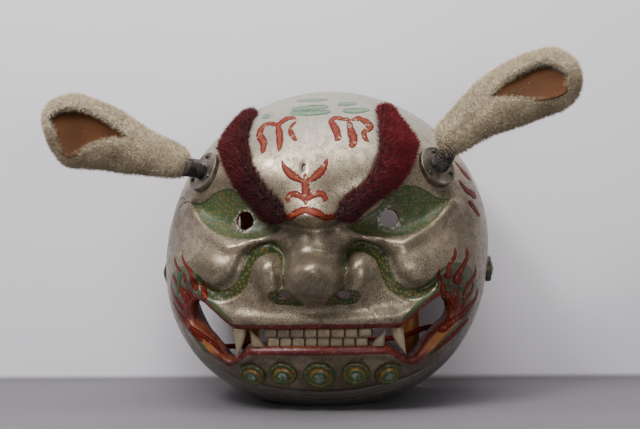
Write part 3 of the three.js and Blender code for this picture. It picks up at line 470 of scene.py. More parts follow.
def strip_depth(rows, x, z, per_span=6):
    """How far a point lies inside a strip: its half width less the distance to its middle line."""
    line = on_plane(spline(rows, (len(rows) - 1) * per_span + 1))
    best = np.full(np.shape(x), -1e3)
    for (ax, az, aw), (bx, bz, bw) in zip(line[:-1], line[1:]):
        length = (bx - ax) ** 2 + (bz - az) ** 2 + 1e-9
        t = np.clip(((x - ax) * (bx - ax) + (z - az) * (bz - az)) / length, 0, 1)
        away = np.hypot(x - ax - t * (bx - ax), z - az - t * (bz - az))
        best = np.maximum(best, aw + t * (bw - aw) - away)
    return best


def outline_depth(edge, x, z):
    """How far a point lies inside a closed outline, negative outside it."""
    away = np.full(np.shape(x), 1e3)
    inside = np.zeros(np.shape(x), bool)
    for (ax, az), (bx, bz) in zip(edge, np.roll(edge, -1, 0)):
        length = (bx - ax) ** 2 + (bz - az) ** 2 + 1e-9
        t = np.clip(((x - ax) * (bx - ax) + (z - az) * (bz - az)) / length, 0, 1)
        away = np.minimum(away, np.hypot(x - ax - t * (bx - ax), z - az - t * (bz - az)))
        crosses = (az > z) != (bz > z)
        slope = (bx - ax) / (bz - az if bz != az else 1e-9)
        inside ^= crosses & (x < ax + (z - az) * slope)
    return np.where(inside, away, -away)


def line_distance(line, p, q):
    """Distance in shares from points to a line of points."""
    best = np.full(np.shape(p), 1e3)
    for (ap, aq), (bp, bq) in zip(line[:-1], line[1:]):
        length = (bp - ap) ** 2 + (bq - aq) ** 2
        t = np.clip(((p - ap) * (bp - ap) + (q - aq) * (bq - aq)) / length, 0, 1)
        best = np.minimum(best, np.hypot(p - ap - t * (bp - ap), q - aq - t * (bq - aq)))
    return best


# The face as a surface


def face_lift(x, z, inside=False):
    """Height of the features over the plain dome: a raised forehead, bumps that fall off as
    exp(-r^edge), and ridges and grooves that fall off as exp(-r^2) from their lines. Inside, the
    ridges are left out and the hollows are wider."""
    p = np.abs(x) / HALF_WIDTH
    q = to_q(z)
    inward = 0.06 if inside else 0.0
    on_forehead = np.interp(q, FOREHEAD_EDGE[:, 0], FOREHEAD_EDGE[:, 1]) - p
    fade = smooth(0.13 + inward, 0.22 + inward, q) * (1 - smooth(0.86, 1.02, q))
    lift = FOREHEAD_LIFT * smooth(-0.09 + inward, 0.09 + inward, on_forehead) * fade
    for _, bp, bq, rp, rq, height, edge in BUMPS:
        size = 1 - 0.25 * np.sign(height) if inside else 1
        lift = lift + height * np.exp(-(np.hypot((p - bp) / rp, (q - bq) / rq) / size) ** edge)
    for _, width, height, line in RIDGES:
        if not inside or height < 0:
            away = line_distance(line, p, q) / (width * (2 if inside else 1))
            lift = lift + height * np.exp(-(away**2))
    return lift * DOME_DEPTH


def dome(cos, sin):
    """Radius and exponents of the plain dome along each direction from its middle."""
    low = smooth(-0.4, 0.4, -sin)
    power = np.where(sin > 0, 2.0, 2.25)
    across = np.abs(cos / HALF_WIDTH) ** power
    upright = np.abs(sin / np.where(sin > 0, RISE, DROP)) ** power
    radius = 1 / (across + upright) ** (1 / power)
    return radius, 2.2 + 0.4 * low, 2 + 0.6 * low, LEAN * np.tanh(2.5 * sin)


def face_y(x, z):
    """Depth of the finished face at x, z."""
    x = np.asarray(x, float)
    z = np.asarray(z, float)
    angle = np.arctan2(z - WIDEST_HEIGHT, x)
    plain = x - dome(np.cos(angle), np.sin(angle))[3]
    around = np.arctan2(z - WIDEST_HEIGHT, plain)
    radius, shape, depth_shape, _ = dome(np.cos(around), np.sin(around))
    share = np.minimum(np.hypot(plain, z - WIDEST_HEIGHT) / radius, 1)
    depth = DOME_DEPTH * (1 - share**shape) ** (1 / depth_shape)
    fade = 1 - smooth(0.86, 0.98, share)
    return -depth - (face_lift(x, z) + fine_relief(x, z)) * fade


def face_normal(x, z, step=1.5):
    dx = (face_y(x + step, z) - face_y(x - step, z)) / (2 * step)
    dz = (face_y(x, z + step) - face_y(x, z - step)) / (2 * step)
    normal = np.stack([dx, -np.ones_like(dx), dz], -1)
    return normal / np.linalg.norm(normal, axis=-1, keepdims=True)


def on_face(x, z, lift=0.0):
    """Points on the finished face, moved out along its normal."""
    points = np.stack([x, face_y(x, z), z], -1)
    return points + face_normal(x, z) * np.asarray(lift)[..., None]


def leaf_depths(side, z):
    """How far a point lies inside the eye leaf, the groove strip and the nostril leaf."""
    leaf = outline_depth(on_plane(spline(EYE_LEAF, 90, True)), side, z)
    groove = strip_depth(GROOVE_STRIP, side, z)
    return leaf, groove, outline_depth(on_plane(spline(NOSTRIL_LEAF, 48, True)), side, z)


def crease_height(side):
    """Height of the chin's crease."""
    return np.interp(side, to_x([p for p, _ in CHIN_CREASE]), to_z([q for _, q in CHIN_CREASE]))


def eye_depth(side, z):
    return EYE_RADIUS - np.hypot(side - to_x(EYE_AT[0]), z - to_z(EYE_AT[1]))


def hole_depth(x, z):
    """How far a point of the face lies inside any opening."""
    side = np.abs(x)
    nostril = np.hypot((side - to_x(NOSTRIL_AT[0])) / NOSTRIL_SIZE[0],
                       (z - to_z(NOSTRIL_AT[1])) / NOSTRIL_SIZE[1])
    slot = np.hypot((x - to_x(SLOT_AT[0])) / SLOT_SIZE[0], (z - to_z(SLOT_AT[1])) / SLOT_SIZE[1])
    mouth = outline_depth(on_plane(MOUTH_EDGE), side, z)
    return np.max([eye_depth(side, z), (1 - nostril) * NOSTRIL_SIZE[1], (1 - slot) * SLOT_SIZE[0],
                   mouth], 0)


def fine_relief(x, z):
    """Small relief that the part leaves out: the painted leaves and the groove lie a little
    deeper behind crisp edges, and the chin's rim is a step below its crease."""
    side = np.abs(x)
    leaf, groove, pad = leaf_depths(side, z)
    crease = strip_depth([(p, q, 0.0) for p, q in CHIN_CREASE], side, z)
    lower = z - crease_height(side)
    lift = -2.2 * smooth(-1.2, 2.4, leaf) - 3.2 * smooth(-2.0, 2.5, groove) - 1.6 * smooth(-1, 2, pad)
    step = smooth(1.5, -1.5, lower) * (1 - smooth(0.6, 0.95, side / HALF_WIDTH))
    return lift - 2.4 * step - 1.8 * np.exp(-((crease / 1.5) ** 2))


def shell_point(share, angle, offset, inside=False):
    """One sheet of the shell: the dome's superellipse, its features, and an offset along the plain
    dome's normal, and its x and z before the offset. share runs from the face's middle to the
    widest ring."""
    cos, sin = np.cos(angle), np.sin(angle)
    radius, shape, depth_shape, shift = dome(cos, sin)
    arc = (math.pi / 2) * share * (0.8 + 0.2 * share)
    out = np.sin(arc) ** (2 / shape)
    deep = np.maximum(np.cos(arc), 0) ** (2 / depth_shape)
    x = out * radius * cos + shift * np.minimum(out * 2, 1)
    z = WIDEST_HEIGHT + out * radius * sin
    lift = face_lift(x, z, inside) if inside else face_lift(x, z) + fine_relief(x, z)
    lift = lift * (1 - smooth(0.86, 0.98, out))
    slope = shape * np.maximum(out, 1e-6) ** (shape - 1) / radius
    steep = depth_shape * deep ** (depth_shape - 1) / DOME_DEPTH
    size = np.hypot(slope, steep)
    if callable(offset):
        offset = offset(x, z)
    y = -DOME_DEPTH * deep - lift - offset * steep / size
    flat = np.maximum(z + offset * slope * sin / size, -offset)
    return np.stack([x + offset * slope * cos / size, y, flat], -1), x, z


def band_point(back, angle, offset):
    """The band behind the widest ring, a little narrower at its open rim."""
    radius, _, _, shift = dome(np.cos(angle), np.sin(angle))
    radius = radius * (1 - BAND_TAPER * back) + offset
    x = radius * np.cos(angle) + shift
    z = np.maximum(WIDEST_HEIGHT + radius * np.sin(angle), -offset)
    return np.stack([x, back * BAND_DEPTH + 0 * x, z], -1)


def wall_at(x, z):
    """Wall thickness, thick round the mouth where the teeth are held."""
    line = ((0.0, -0.5), (0.5, -0.5), (0.66, -0.4))
    away = line_distance(line, np.abs(x) / HALF_WIDTH, to_q(z))
    return WALL + (LIP_WALL - WALL) * (1 - smooth(0.13, 0.24, away))


def ring_angles(count):
    """Angles round a square ring of cells, so that a square core and round rows share points."""
    k = np.arange(8 * count)
    side = k // (2 * count)
    along = (k % (2 * count)) / count - 1
    return (math.pi / 4) * along + side * math.pi / 2


def shell_grid(core, rows, band_rows):
    """Parameters and cells of the shell: a square core of cells, then rings out to the widest
    ring, then the band. Returns share, angle, back and the triangles."""
    i, j = np.meshgrid(np.arange(-core, core + 1), np.arange(-core, core + 1), indexing="ij")
    reach = np.maximum(np.abs(i), np.abs(j))
    wide = np.abs(i) >= np.abs(j)
    safe = np.where(reach == 0, 1, reach)
    turn = (math.pi / 4) * np.where(wide, j * np.sign(i), i * np.sign(j)) / safe
    base = np.where(wide, turn, math.pi / 2 - turn)
    angle = base + np.where(np.where(wide, i, j) < 0, math.pi, 0)
    half = core / (core + rows)
    share = reach / core * half
    around = 8 * core
    ring = ring_angles(core)
    shares = [share.ravel()]
    angles = [angle.ravel()]
    for row in range(1, rows + 1):
        shares.append(np.full(around, half + (1 - half) * row / rows))
        angles.append(ring)
    for _ in range(band_rows):
        shares.append(np.ones(around))
        angles.append(ring)
    back = np.concatenate([np.zeros(share.size + rows * around),
                           np.repeat(np.arange(1, band_rows + 1) / band_rows, around)])
    side = 2 * core + 1
    at = np.arange(side * side).reshape(side, side)
    a, b, c, d = at[:-1, :-1], at[1:, :-1], at[1:, 1:], at[:-1, 1:]
    cells = np.stack([a, b, c, d], -1).reshape(-1, 4)
    edge = np.concatenate([at[-1, :-1], at[:0:-1, -1], at[0, :0:-1], at[:-1, 0]])
    start = side * side
    previous = edge
    for row in range(rows + band_rows):
        current = start + row * around + np.arange(around)
        cells = np.vstack([cells, np.stack(
            [previous, current, np.roll(current, -1), np.roll(previous, -1)], -1)])
        previous = current
    triangles = np.vstack([cells[:, [0, 1, 2]], cells[:, [0, 2, 3]]])
    return np.concatenate(shares), np.concatenate(angles), back, triangles


# Meshes


def mesh_piece(name, points, faces, materials, face_slots=None, attributes=None, uv=None, flat=False):
    """A mesh object from points in millimetres and faces with equal numbers of corners. uv holds
    one pair for each point."""
    mesh = bpy.data.meshes.new(name)
    points = np.asarray(points, float).reshape(-1, 3) * 0.001
    faces = np.asarray(faces, np.int32)
    corners = faces.shape[1]
    mesh.vertices.add(len(points))
    mesh.vertices.foreach_set("co", points.astype(np.float32).ravel())
    mesh.loops.add(faces.size)
    mesh.loops.foreach_set("vertex_index", faces.ravel())
    mesh.polygons.add(len(faces))
    mesh.polygons.foreach_set("loop_start", np.arange(len(faces), dtype=np.int32) * corners)
    for material in materials:
        mesh.materials.append(material)
    if face_slots is not None:
        mesh.polygons.foreach_set("material_index", np.asarray(face_slots, np.int32))
    mesh.update(calc_edges=True)
    mesh.validate(verbose=False)
    mesh.polygons.foreach_set("use_smooth", np.full(len(mesh.polygons), not flat))
    for key, values in (attributes or {}).items():
        layer = mesh.attributes.new(key, "FLOAT", "POINT")
        layer.data.foreach_set("value", np.asarray(values, np.float32))
    if uv is not None:
        layer = mesh.uv_layers.new(name="UVMap")
        order = np.zeros(len(mesh.loops), np.int32)
        mesh.loops.foreach_get("vertex_index", order)
        layer.data.foreach_set("uv", np.asarray(uv, np.float32)[order].ravel())
    obj = bpy.data.objects.new(name, mesh)
    bpy.context.scene.collection.objects.link(obj)
    return obj


def grid_faces(rows, around, closed=True):
    """Quads of a grid of rows of points, closed round each row or open."""
    i = np.arange(rows - 1)[:, None]
    j = np.arange(around if closed else around - 1)[None, :]
    k = (j + 1) % around
    quads = np.stack([i * around + j, i * around + k, (i + 1) * around + k, (i + 1) * around + j], -1)
    return quads.reshape(-1, 4)


def capped_tube(sections):
    """Points and triangles of rows of points round a line, with a point that closes each end.
    Turned so that its volume is positive."""
    sections = np.asarray(sections, float)
    rows, around = sections.shape[:2]
    points = np.vstack([sections.reshape(-1, 3), sections[0].mean(0), sections[-1].mean(0)])
    quads = grid_faces(rows, around)
    faces = np.vstack([quads[:, [0, 1, 2]], quads[:, [0, 2, 3]]])
    j = np.arange(around)
    k = (j + 1) % around
    first, last = rows * around, rows * around + 1
    caps = np.vstack([
        np.stack([np.full(around, first), k, j], -1),
        np.stack([np.full(around, last), j + (rows - 1) * around, k + (rows - 1) * around], -1),
    ])
    faces = np.vstack([faces, caps])
    a, b, c = (points[faces[:, n]] for n in range(3))
    if np.einsum("ij,ij->i", a, np.cross(b, c)).sum() < 0:
        faces = faces[:, ::-1]
    return points, faces


def joined(parts):
    """Points and faces of several parts as one."""
    start = np.cumsum([0] + [len(points) for points, _ in parts[:-1]])
    return np.vstack([p for p, _ in parts]), np.vstack([f + s for (_, f), s in zip(parts, start)])


def swept(line, across, up, profile):
    """A closed profile of pairs carried along a line, with its own across and up directions."""
    line, across, up = (np.asarray(v)[:, None, :] for v in (line, across, up))
    return line + across * profile[None, :, :1] + up * profile[None, :, 1:]


def turned(radius, height, at, out, around):
    """Radii and heights turned about a line. Heights may differ round each ring."""
    turn = full_turn(around)[:, None]
    first = unit(np.cross([0.0, 0.0, 1.0], out))
    ring = first * np.cos(turn) + np.cross(out, first) * np.sin(turn)
    return capped_tube(at + ring[None] * radius[:, None, None] + out * height[..., None])


def unit(v):
    return v / np.maximum(np.linalg.norm(v, axis=-1, keepdims=True), 1e-9)


def opened(triangles, depth):
    """Cuts triangles where depth passes zero and drops the side where it is positive. Returns the
    new triangles and, for each point, the two old points and the share between them."""
    inside = depth > 0
    count = inside[triangles].sum(1)
    whole = triangles[count == 0]
    first, second = triangles[count == 1], triangles[count == 2]
    first = np.take_along_axis(
        first, (np.argmax(inside[first], 1)[:, None] + np.arange(3)) % 3, 1)
    second = np.take_along_axis(
        second, (np.argmin(inside[second], 1)[:, None] + np.arange(3)) % 3, 1)
    cut = np.vstack([first[:, [0, 1]], first[:, [0, 2]], second[:, [0, 1]], second[:, [0, 2]]])
    cut.sort(1)
    edges, which = np.unique(cut, axis=0, return_inverse=True)
    which = which.ravel() + len(depth)
    n, m = len(first), len(second)
    ab, ac, de, df = which[:n], which[n:2 * n], which[2 * n:2 * n + m], which[2 * n + m:]
    pieces = [
        whole,
        np.stack([ab, first[:, 1], first[:, 2]], -1),
        np.stack([ab, first[:, 2], ac], -1),
        np.stack([second[:, 0], de, df], -1),
    ]
    triangles = np.vstack(pieces)
    da, db = depth[edges[:, 0]], depth[edges[:, 1]]
    t = np.clip(da / (da - db), 0.02, 0.98)
    one = np.concatenate([np.arange(len(depth)), edges[:, 0]])
    two = np.concatenate([np.arange(len(depth)), edges[:, 1]])
    share = np.concatenate([np.zeros(len(depth)), t])
    used, order = np.unique(triangles, return_inverse=True)
    return order.reshape(-1, 3), one[used], two[used], share[used]


def open_edges(triangles):
    """Directed edges that only one triangle has."""
    edges = np.vstack([triangles[:, [0, 1]], triangles[:, [1, 2]], triangles[:, [2, 0]]])
    big = int(triangles.max()) + 1
    key = edges[:, 0] * big + edges[:, 1]
    back = edges[:, 1] * big + edges[:, 0]
    return edges[~np.isin(key, back)]


def pile(roots, normals, comb, length, width, seed, droop, spread):
    """Short blades of plush: two narrow triangles and a tip for each root, bent towards the comb
    direction. Each blade starts along the normal, mixed with the comb and a random part."""
    rng = np.random.default_rng(seed)
    count = len(roots)
    wild = rng.normal(size=(count, 3)) * spread
    out = unit(normals + comb * droop + wild)
    side = unit(np.cross(out, rng.normal(size=(count, 3))))
    reach = length * rng.uniform(0.7, 1.15, count)[:, None]
    bent = unit(out + comb * droop * 1.6 + rng.normal(size=(count, 3)) * 0.15)
    middle = roots + out * reach * 0.55
    tip = middle + bent * reach * 0.5
    half = side * (width / 2)
    points = np.stack([roots - half, roots + half, middle + half * 0.75, middle - half * 0.75, tip], 1)
    base = np.arange(count)[:, None] * BLADE_POINTS
    faces = np.concatenate([base + [0, 1, 2], base + [0, 2, 3], base + [3, 2, 4]], 0)
    return points.reshape(-1, 3), faces


# Where things stand, and random places on a surface


def plain_face(x, z):
    """Depth of the face at x, z without the fine relief, and its normal."""
    def depth(u, v):
        return face_y(u, v) + fine_relief(np.array([u]), np.array([v]))[0]
    step = 2.0
    normal = unit(np.array([
        (depth(x + step, z) - depth(x - step, z)) / (2 * step), -1.0,
        (depth(x, z + step) - depth(x, z - step)) / (2 * step)]))
    return depth(x, z), normal


def ear_seat(name):
    """Where an ear stands: the direction out of its plate, the middle of the plate's face, the
    ear's root, and the ear's own directions: its axis, up and back."""
    side, rise, forward, turn, out, front, up = EARS[name]
    x, z = side * to_x(PLATE_AT[0]), float(to_z(PLATE_AT[1]))
    depth, normal = plain_face(x, z)
    at = np.array([x, float(depth), z])
    face = at + normal * PLATE_STANDOFF
    root = at + np.array([side * to_x(out), -to_x(front), to_x(up)])
    high, lean = math.radians(rise), math.radians(forward)
    level_part = math.cos(high)
    axis = Vector((side * level_part * math.cos(lean), -level_part * math.sin(lean), math.sin(high)))
    axis.normalize()
    level = Vector((side, 0, 0))
    about = Matrix.Rotation(math.radians(-side * turn), 3, level)
    swing = level.rotation_difference(axis).to_matrix() @ about
    return {"out": normal, "face": face, "root": root, "axis": np.array(axis),
            "up": np.array(swing @ Vector((0, 0, 1))), "back": np.array(swing @ Vector((0, 1, 0)))}


def picked(points, faces, count, seed):
    """Triangles picked by their area, and a random place in each."""
    rng = np.random.default_rng(seed)
    a, b, c = (points[faces[:, n]] for n in range(3))
    area = np.linalg.norm(np.cross(b - a, c - a), axis=1)
    chosen = rng.choice(len(faces), count, p=area / area.sum())
    u, v = rng.uniform(size=(2, count))
    flip = u + v > 1
    u, v = np.where(flip, 1 - u, u), np.where(flip, 1 - v, v)
    return chosen, np.stack([1 - u - v, u, v], -1)


def scattered(points, faces, count, seed):
    """Random points spread evenly over triangles, with the triangles' normals."""
    chosen, place = picked(points, faces, count, seed)
    corners = points[faces[chosen]]
    normals = unit(np.cross(corners[:, 1] - corners[:, 0], corners[:, 2] - corners[:, 0]))
    return (corners * place[..., None]).sum(1), normals


def nearest_values(points, values, faces, count, seed):
    """The value at each of the same random points as scattered gives."""
    chosen, place = picked(points, faces, count, seed)
    return (values[faces[chosen]] * place).sum(1)


def furred(points, faces, outer, count, comb, blade, seeds, body_tip):
    """A body with blades of plush on its outer faces: points, faces and slots of both, the
    attributes tip and tone, and the blades' roots."""
    length, width, sunk, droop, spread = blade
    place_seed, blade_seed, tone_seed = seeds
    roots, normals = scattered(points, outer, count, place_seed)
    blades, blade_faces = pile(
        roots - normals * sunk, normals, comb, length, width, blade_seed, droop, spread)
    body, order = joined([(points, faces), (blades, blade_faces)])
    slots = np.concatenate([np.zeros(len(faces)), np.ones(len(blade_faces))])
    tones = np.random.default_rng(tone_seed).uniform(0, 1, len(roots))
    extra = {
        # The backing takes body_tip, so it is painted nearly as dark as the roots: painted shade under the
        # pile
        "tip": np.concatenate([np.full(len(points), body_tip), np.tile(BLADE_TIP, len(roots))]),
        "tone": np.concatenate([np.full(len(points), 0.5), np.repeat(tones, BLADE_POINTS)]),
    }
    return body, order, slots, extra, roots


# Materials


def plug(tree, socket, value):
    """Links another node's output to a socket, or sets the socket to a value."""
    if isinstance(value, bpy.types.NodeSocket):
        tree.links.new(value, socket)
    else:
        socket.default_value = value


def add_node(tree, kind, settings=None, **inputs):
    """A node with its settings and inputs, each a value or another node's output."""
    node = tree.nodes.new(kind)
    for key, value in (settings or {}).items():
        setattr(node, key, value)
    for key, value in inputs.items():
        plug(tree, node.inputs[key], value)
    return node


def maths(tree, operation, a, b=0.0):
    node = add_node(tree, "ShaderNodeMath", {"operation": operation})
    plug(tree, node.inputs[0], a)
    plug(tree, node.inputs[1], b)
    return node.outputs[0]


def times(tree, a, b):
    return maths(tree, "MULTIPLY", a, b)


def plus(tree, a, b):
    return maths(tree, "ADD", a, b)


def minus(tree, a, b):
    return maths(tree, "SUBTRACT", a, b)


def mixed(tree, factor, a, b):
    """Colour between a and b."""
    node = add_node(tree, "ShaderNodeMix", {"data_type": "RGBA"})
    plug(tree, node.inputs[0], factor)
    for socket, color in ((node.inputs[6], a), (node.inputs[7], b)):
        plug(tree, socket, color if isinstance(color, bpy.types.NodeSocket) else (*color[:3], 1))
    return node.outputs[2]


def stepped(tree, value, low, high, to_low=0.0, to_high=1.0):
    """Smooth step of a value between two bounds."""
    node = add_node(tree, "ShaderNodeMapRange", {"interpolation_type": "SMOOTHSTEP"}, Value=value)
    for key, number in (("From Min", low), ("From Max", high), ("To Min", to_low), ("To Max", to_high)):
        node.inputs[key].default_value = number
    return node.outputs[0]


def toned(tree, value, low, high, a, b):
    """Colour that turns from a to b while a value rises from low to high."""
    return mixed(tree, stepped(tree, value, low, high), a, b)


def noise(tree, place, scale, detail=3.0, roughness=0.55, distortion=0.0):
    return add_node(tree, "ShaderNodeTexNoise", None, Vector=place, Scale=scale, Detail=detail,
                    Roughness=roughness, Distortion=distortion).outputs[0]


def wavering(tree, place, scale, detail, amount):
    """Noise about zero, to make a painted edge uneven."""
    return times(tree, minus(tree, noise(tree, place, scale, detail), 0.5), amount)


def stretched(tree, place, *scale):
    """The place with its own scale along each axis, for streaks and grain."""
    return add_node(tree, "ShaderNodeMapping", None, Vector=place, Scale=scale).outputs[0]


def attribute(tree, name):
    return add_node(tree, "ShaderNodeAttribute", {"attribute_name": name}).outputs["Fac"]


def new_group(name, inputs, outputs):
    """A shader node group with named sockets; returns its tree and its input and output nodes."""
    tree = bpy.data.node_groups.new(name, "ShaderNodeTree")
    for key, kind, value in inputs:
        socket = tree.interface.new_socket(name=key, in_out="INPUT", socket_type=kind)
        if value is not None:
            socket.default_value = value
    for key, kind in outputs:
        tree.interface.new_socket(name=key, in_out="OUTPUT", socket_type=kind)
    return tree, tree.nodes.new("NodeGroupInput"), tree.nodes.new("NodeGroupOutput")


def finish_of(name, **constants):
    """A material with a Principled shader; returns it with its tree, shader and object place."""
    material = bpy.data.materials.new(name)
    material.use_nodes = True
    tree = material.node_tree
    shader = tree.nodes["Principled BSDF"]
    for key, value in constants.items():
        shader.inputs[key.replace("_", " ")].default_value = value
    return material, tree, shader, tree.nodes.new("ShaderNodeTexCoord").outputs["Object"]


def link_finish(tree, shader, color, roughness, metallic=None, height=None, bump=0.3, distance=0.0005):
    """Colour, roughness, metal and relief to the shader. The bump's distance is in metres."""
    for key, value in (("Base Color", color), ("Roughness", roughness), ("Metallic", metallic)):
        if value is not None:
            plug(tree, shader.inputs[key], value)
    if height is not None:
        node = add_node(tree, "ShaderNodeBump", None, Strength=bump, Distance=distance, Height=height)
        tree.links.new(node.outputs[0], shader.inputs["Normal"])


def lacquer_group():
    """Worn silver lacquer: a fine grain, mottled patches and dark specks over a warm grey."""
    tree, enter, leave = new_group(
        "worn_silver",
        [("Vector", "NodeSocketVector", None), ("Dirt", "NodeSocketFloat", 0.5)],
        [("Color", "NodeSocketColor"), ("Roughness", "NodeSocketFloat"), ("Height", "NodeSocketFloat")])
    place = enter.outputs["Vector"]
    grain = noise(tree, place, 620.0, 2.0, 0.7)
    mottle = noise(tree, place, 95.0, 4.0, 0.65)
    patch = stepped(tree, noise(tree, place, 19.0, 4.0, 0.55), 0.42, 0.68)
    specks = stepped(tree, noise(tree, place, 640.0, 3.0, 0.8), 0.5, 0.64)
    dirty = times(tree, stepped(tree, mottle, 0.3, 0.62, 0.35, 1.0), enter.outputs["Dirt"])
    dirt = times(tree, specks, dirty)
    base = toned(tree, mottle, 0.35, 0.65, (0.4, 0.318, 0.218), (0.215, 0.168, 0.113))
    base = mixed(tree, times(tree, stepped(tree, grain, 0.42, 0.68), 0.75), base, (0.67, 0.55, 0.39))
    base = mixed(tree, times(tree, patch, 0.62), base, (0.16, 0.126, 0.085))
    color = mixed(tree, dirt, base, (0.04, 0.032, 0.024))
    rough = plus(tree, stepped(tree, mottle, 0.3, 0.7, 0.26, 0.4), times(tree, dirt, 0.25))
    height = plus(tree, times(tree, mottle, 0.6), times(tree, grain, 0.25))
    tree.links.new(color, leave.inputs["Color"])
    tree.links.new(rough, leave.inputs["Roughness"])
    tree.links.new(minus(tree, height, times(tree, dirt, 0.3)), leave.inputs["Height"])
    return tree


def dotted_group():
    """Green enamel with a hand-set pattern of dots in orange, yellow and pale blue-green."""
    tree, enter, leave = new_group(
        "dotted_green",
        [("Vector", "NodeSocketVector", None), ("Olive", "NodeSocketFloat", 0.0),
         ("Dots", "NodeSocketFloat", 1.0)],
        [("Color", "NodeSocketColor"), ("Height", "NodeSocketFloat")])
    place = enter.outputs["Vector"]
    split = add_node(tree, "ShaderNodeSeparateXYZ", None, Vector=place)
    flat = add_node(tree, "ShaderNodeCombineXYZ", None, X=split.outputs[0], Y=split.outputs[2]).outputs[0]
    cells = add_node(tree, "ShaderNodeTexVoronoi", {"voronoi_dimensions": "2D"},
                     Vector=flat, Scale=205.0, Randomness=0.85)
    dot = stepped(tree, cells.outputs["Distance"], 0.33, 0.15)
    pick = add_node(tree, "ShaderNodeSeparateColor", None, Color=cells.outputs["Color"])
    dot = times(tree, dot, maths(tree, "GREATER_THAN", pick.outputs[1], 0.12))
    dot = times(tree, dot, enter.outputs["Dots"])
    yellow = maths(tree, "GREATER_THAN", pick.outputs[0], 0.45)
    bluish = maths(tree, "GREATER_THAN", pick.outputs[0], 0.88)
    hue = mixed(tree, yellow, (0.36, 0.12, 0.02), (0.3, 0.2, 0.035))
    hue = mixed(tree, bluish, hue, (0.12, 0.2, 0.13))
    tone = noise(tree, place, 60.0, 3.0)
    green = toned(tree, tone, 0.35, 0.65, (0.042, 0.066, 0.02), (0.066, 0.09, 0.036))
    olive = toned(tree, tone, 0.35, 0.65, (0.021, 0.033, 0.007), (0.041, 0.056, 0.013))
    base = mixed(tree, enter.outputs["Olive"], green, olive)
    tree.links.new(mixed(tree, times(tree, dot, 0.47), base, hue), leave.inputs["Color"])
    tree.links.new(dot, leave.inputs["Height"])
    return tree


GROUP_MAKERS = {"worn_silver": lacquer_group, "dotted_green": dotted_group}
GROUPS = {}


def grouped(tree, name, **inputs):
    """A node that places a group, which is built once, with its own values."""
    if name not in GROUPS:
        GROUPS[name] = GROUP_MAKERS[name]()
    return add_node(tree, "ShaderNodeGroup", {"node_tree": GROUPS[name]}, **inputs)


def shell_material(settings):
    """Silver lacquer with the painted leaves, strips and lips, grime and painted shade, from the shell's
    own attributes.
    """
    material, tree, shader, place = finish_of("painted_lacquer", Specular_IOR_Level=0.5)
    silver = grouped(tree, "worn_silver", Vector=place, Dirt=settings.dirt)
    wobble = wavering(tree, place, 140.0, 2.0, 1.6)

    def mask(name, soft=0.35):
        return stepped(tree, plus(tree, attribute(tree, name), wobble), -soft, soft)

    # The silver darkened in blotches: partly grime, and partly painted shade in the grooves, at the foot of
    # the forehead, under the nose and over the lower face
    blotch = stepped(tree, noise(tree, place, 16.0, 4.0, 0.6), 0.2, 0.6, 0.6, 1.0)
    grime_and_shade = times(tree, times(tree, attribute(tree, "grime_and_shade"), blotch), 0.72)
    color = mixed(tree, grime_and_shade, silver.outputs["Color"], (0.085, 0.066, 0.046))
    crown = times(tree, attribute(tree, "crown"), 0.75)
    color = mixed(tree, crown, color, (0.31, 0.3, 0.256))
    flecks = stepped(tree, noise(tree, place, 120.0, 4.0, 0.7), 0.4, 0.58, 0.5, 0.95)
    color = mixed(tree, times(tree, mask("ground", 1.2), flecks), color, (0.045, 0.05, 0.022))
    streaks = noise(tree, stretched(tree, place, 6.0, 220.0, 6.0), 1.0, 4.0, 0.7)
    rim = attribute(tree, "rim")
    rim_color = toned(tree, streaks, 0.35, 0.65, (0.14, 0.13, 0.12), (0.33, 0.31, 0.28))
    color = mixed(tree, times(tree, rim, 0.85), color, rim_color)
    green = mask("green")
    dots = grouped(tree, "dotted_green", Vector=place, Olive=attribute(tree, "olive"),
                   Dots=attribute(tree, "dots"))
    color = mixed(tree, green, color, dots.outputs["Color"])
    red = mask("red")
    clouds = noise(tree, place, 50.0, 3.0)
    lip_color = toned(tree, clouds, 0.3, 0.7, (0.085, 0.006, 0.005), (0.16, 0.014, 0.01))
    lip_color = mixed(tree, attribute(tree, "amber"), lip_color, (0.3, 0.1, 0.02))
    worn = stepped(tree, noise(tree, place, 230.0, 4.0, 0.75), 0.59, 0.65)
    lip_color = mixed(tree, worn, lip_color, (0.23, 0.18, 0.135))
    color = mixed(tree, red, color, lip_color)
    # A pale ring round each eye hole: partly chipped paint, partly a painted highlight on the holes' raised
    # rims
    flaked = stepped(tree, noise(tree, place, 170.0, 4.0, 0.7), 0.5, 0.56)
    color = mixed(tree, times(tree, attribute(tree, "chip_and_glint"), flaked), color, (0.62, 0.58, 0.52))
    # The chin's crease painted nearly black: painted shade in the crease
    dark = mask("dark")
    color = mixed(tree, times(tree, dark, 0.85), color, (0.035, 0.03, 0.028))
    painted = maths(tree, "MAXIMUM", green, red)
    painted = maths(tree, "MAXIMUM", painted, times(tree, dark, 0.9))
    bare = minus(tree, 1.0, painted)
    metal = times(tree, bare, minus(tree, settings.metal, times(tree, crown, 0.6)))
    rough = plus(tree, times(tree, silver.outputs["Roughness"], bare), times(tree, painted, 0.43))
    rough = plus(tree, rough, times(tree, crown, 0.12))
    height = plus(tree, times(tree, silver.outputs["Height"], bare), times(tree, painted, 0.8))
    height = plus(tree, height, times(tree, times(tree, dots.outputs["Height"], green), 0.5))
    height = plus(tree, height, times(tree, times(tree, streaks, rim), 2.0))
    link_finish(tree, shader, color, rough, metal, height, 0.35, 0.0005)
    return material


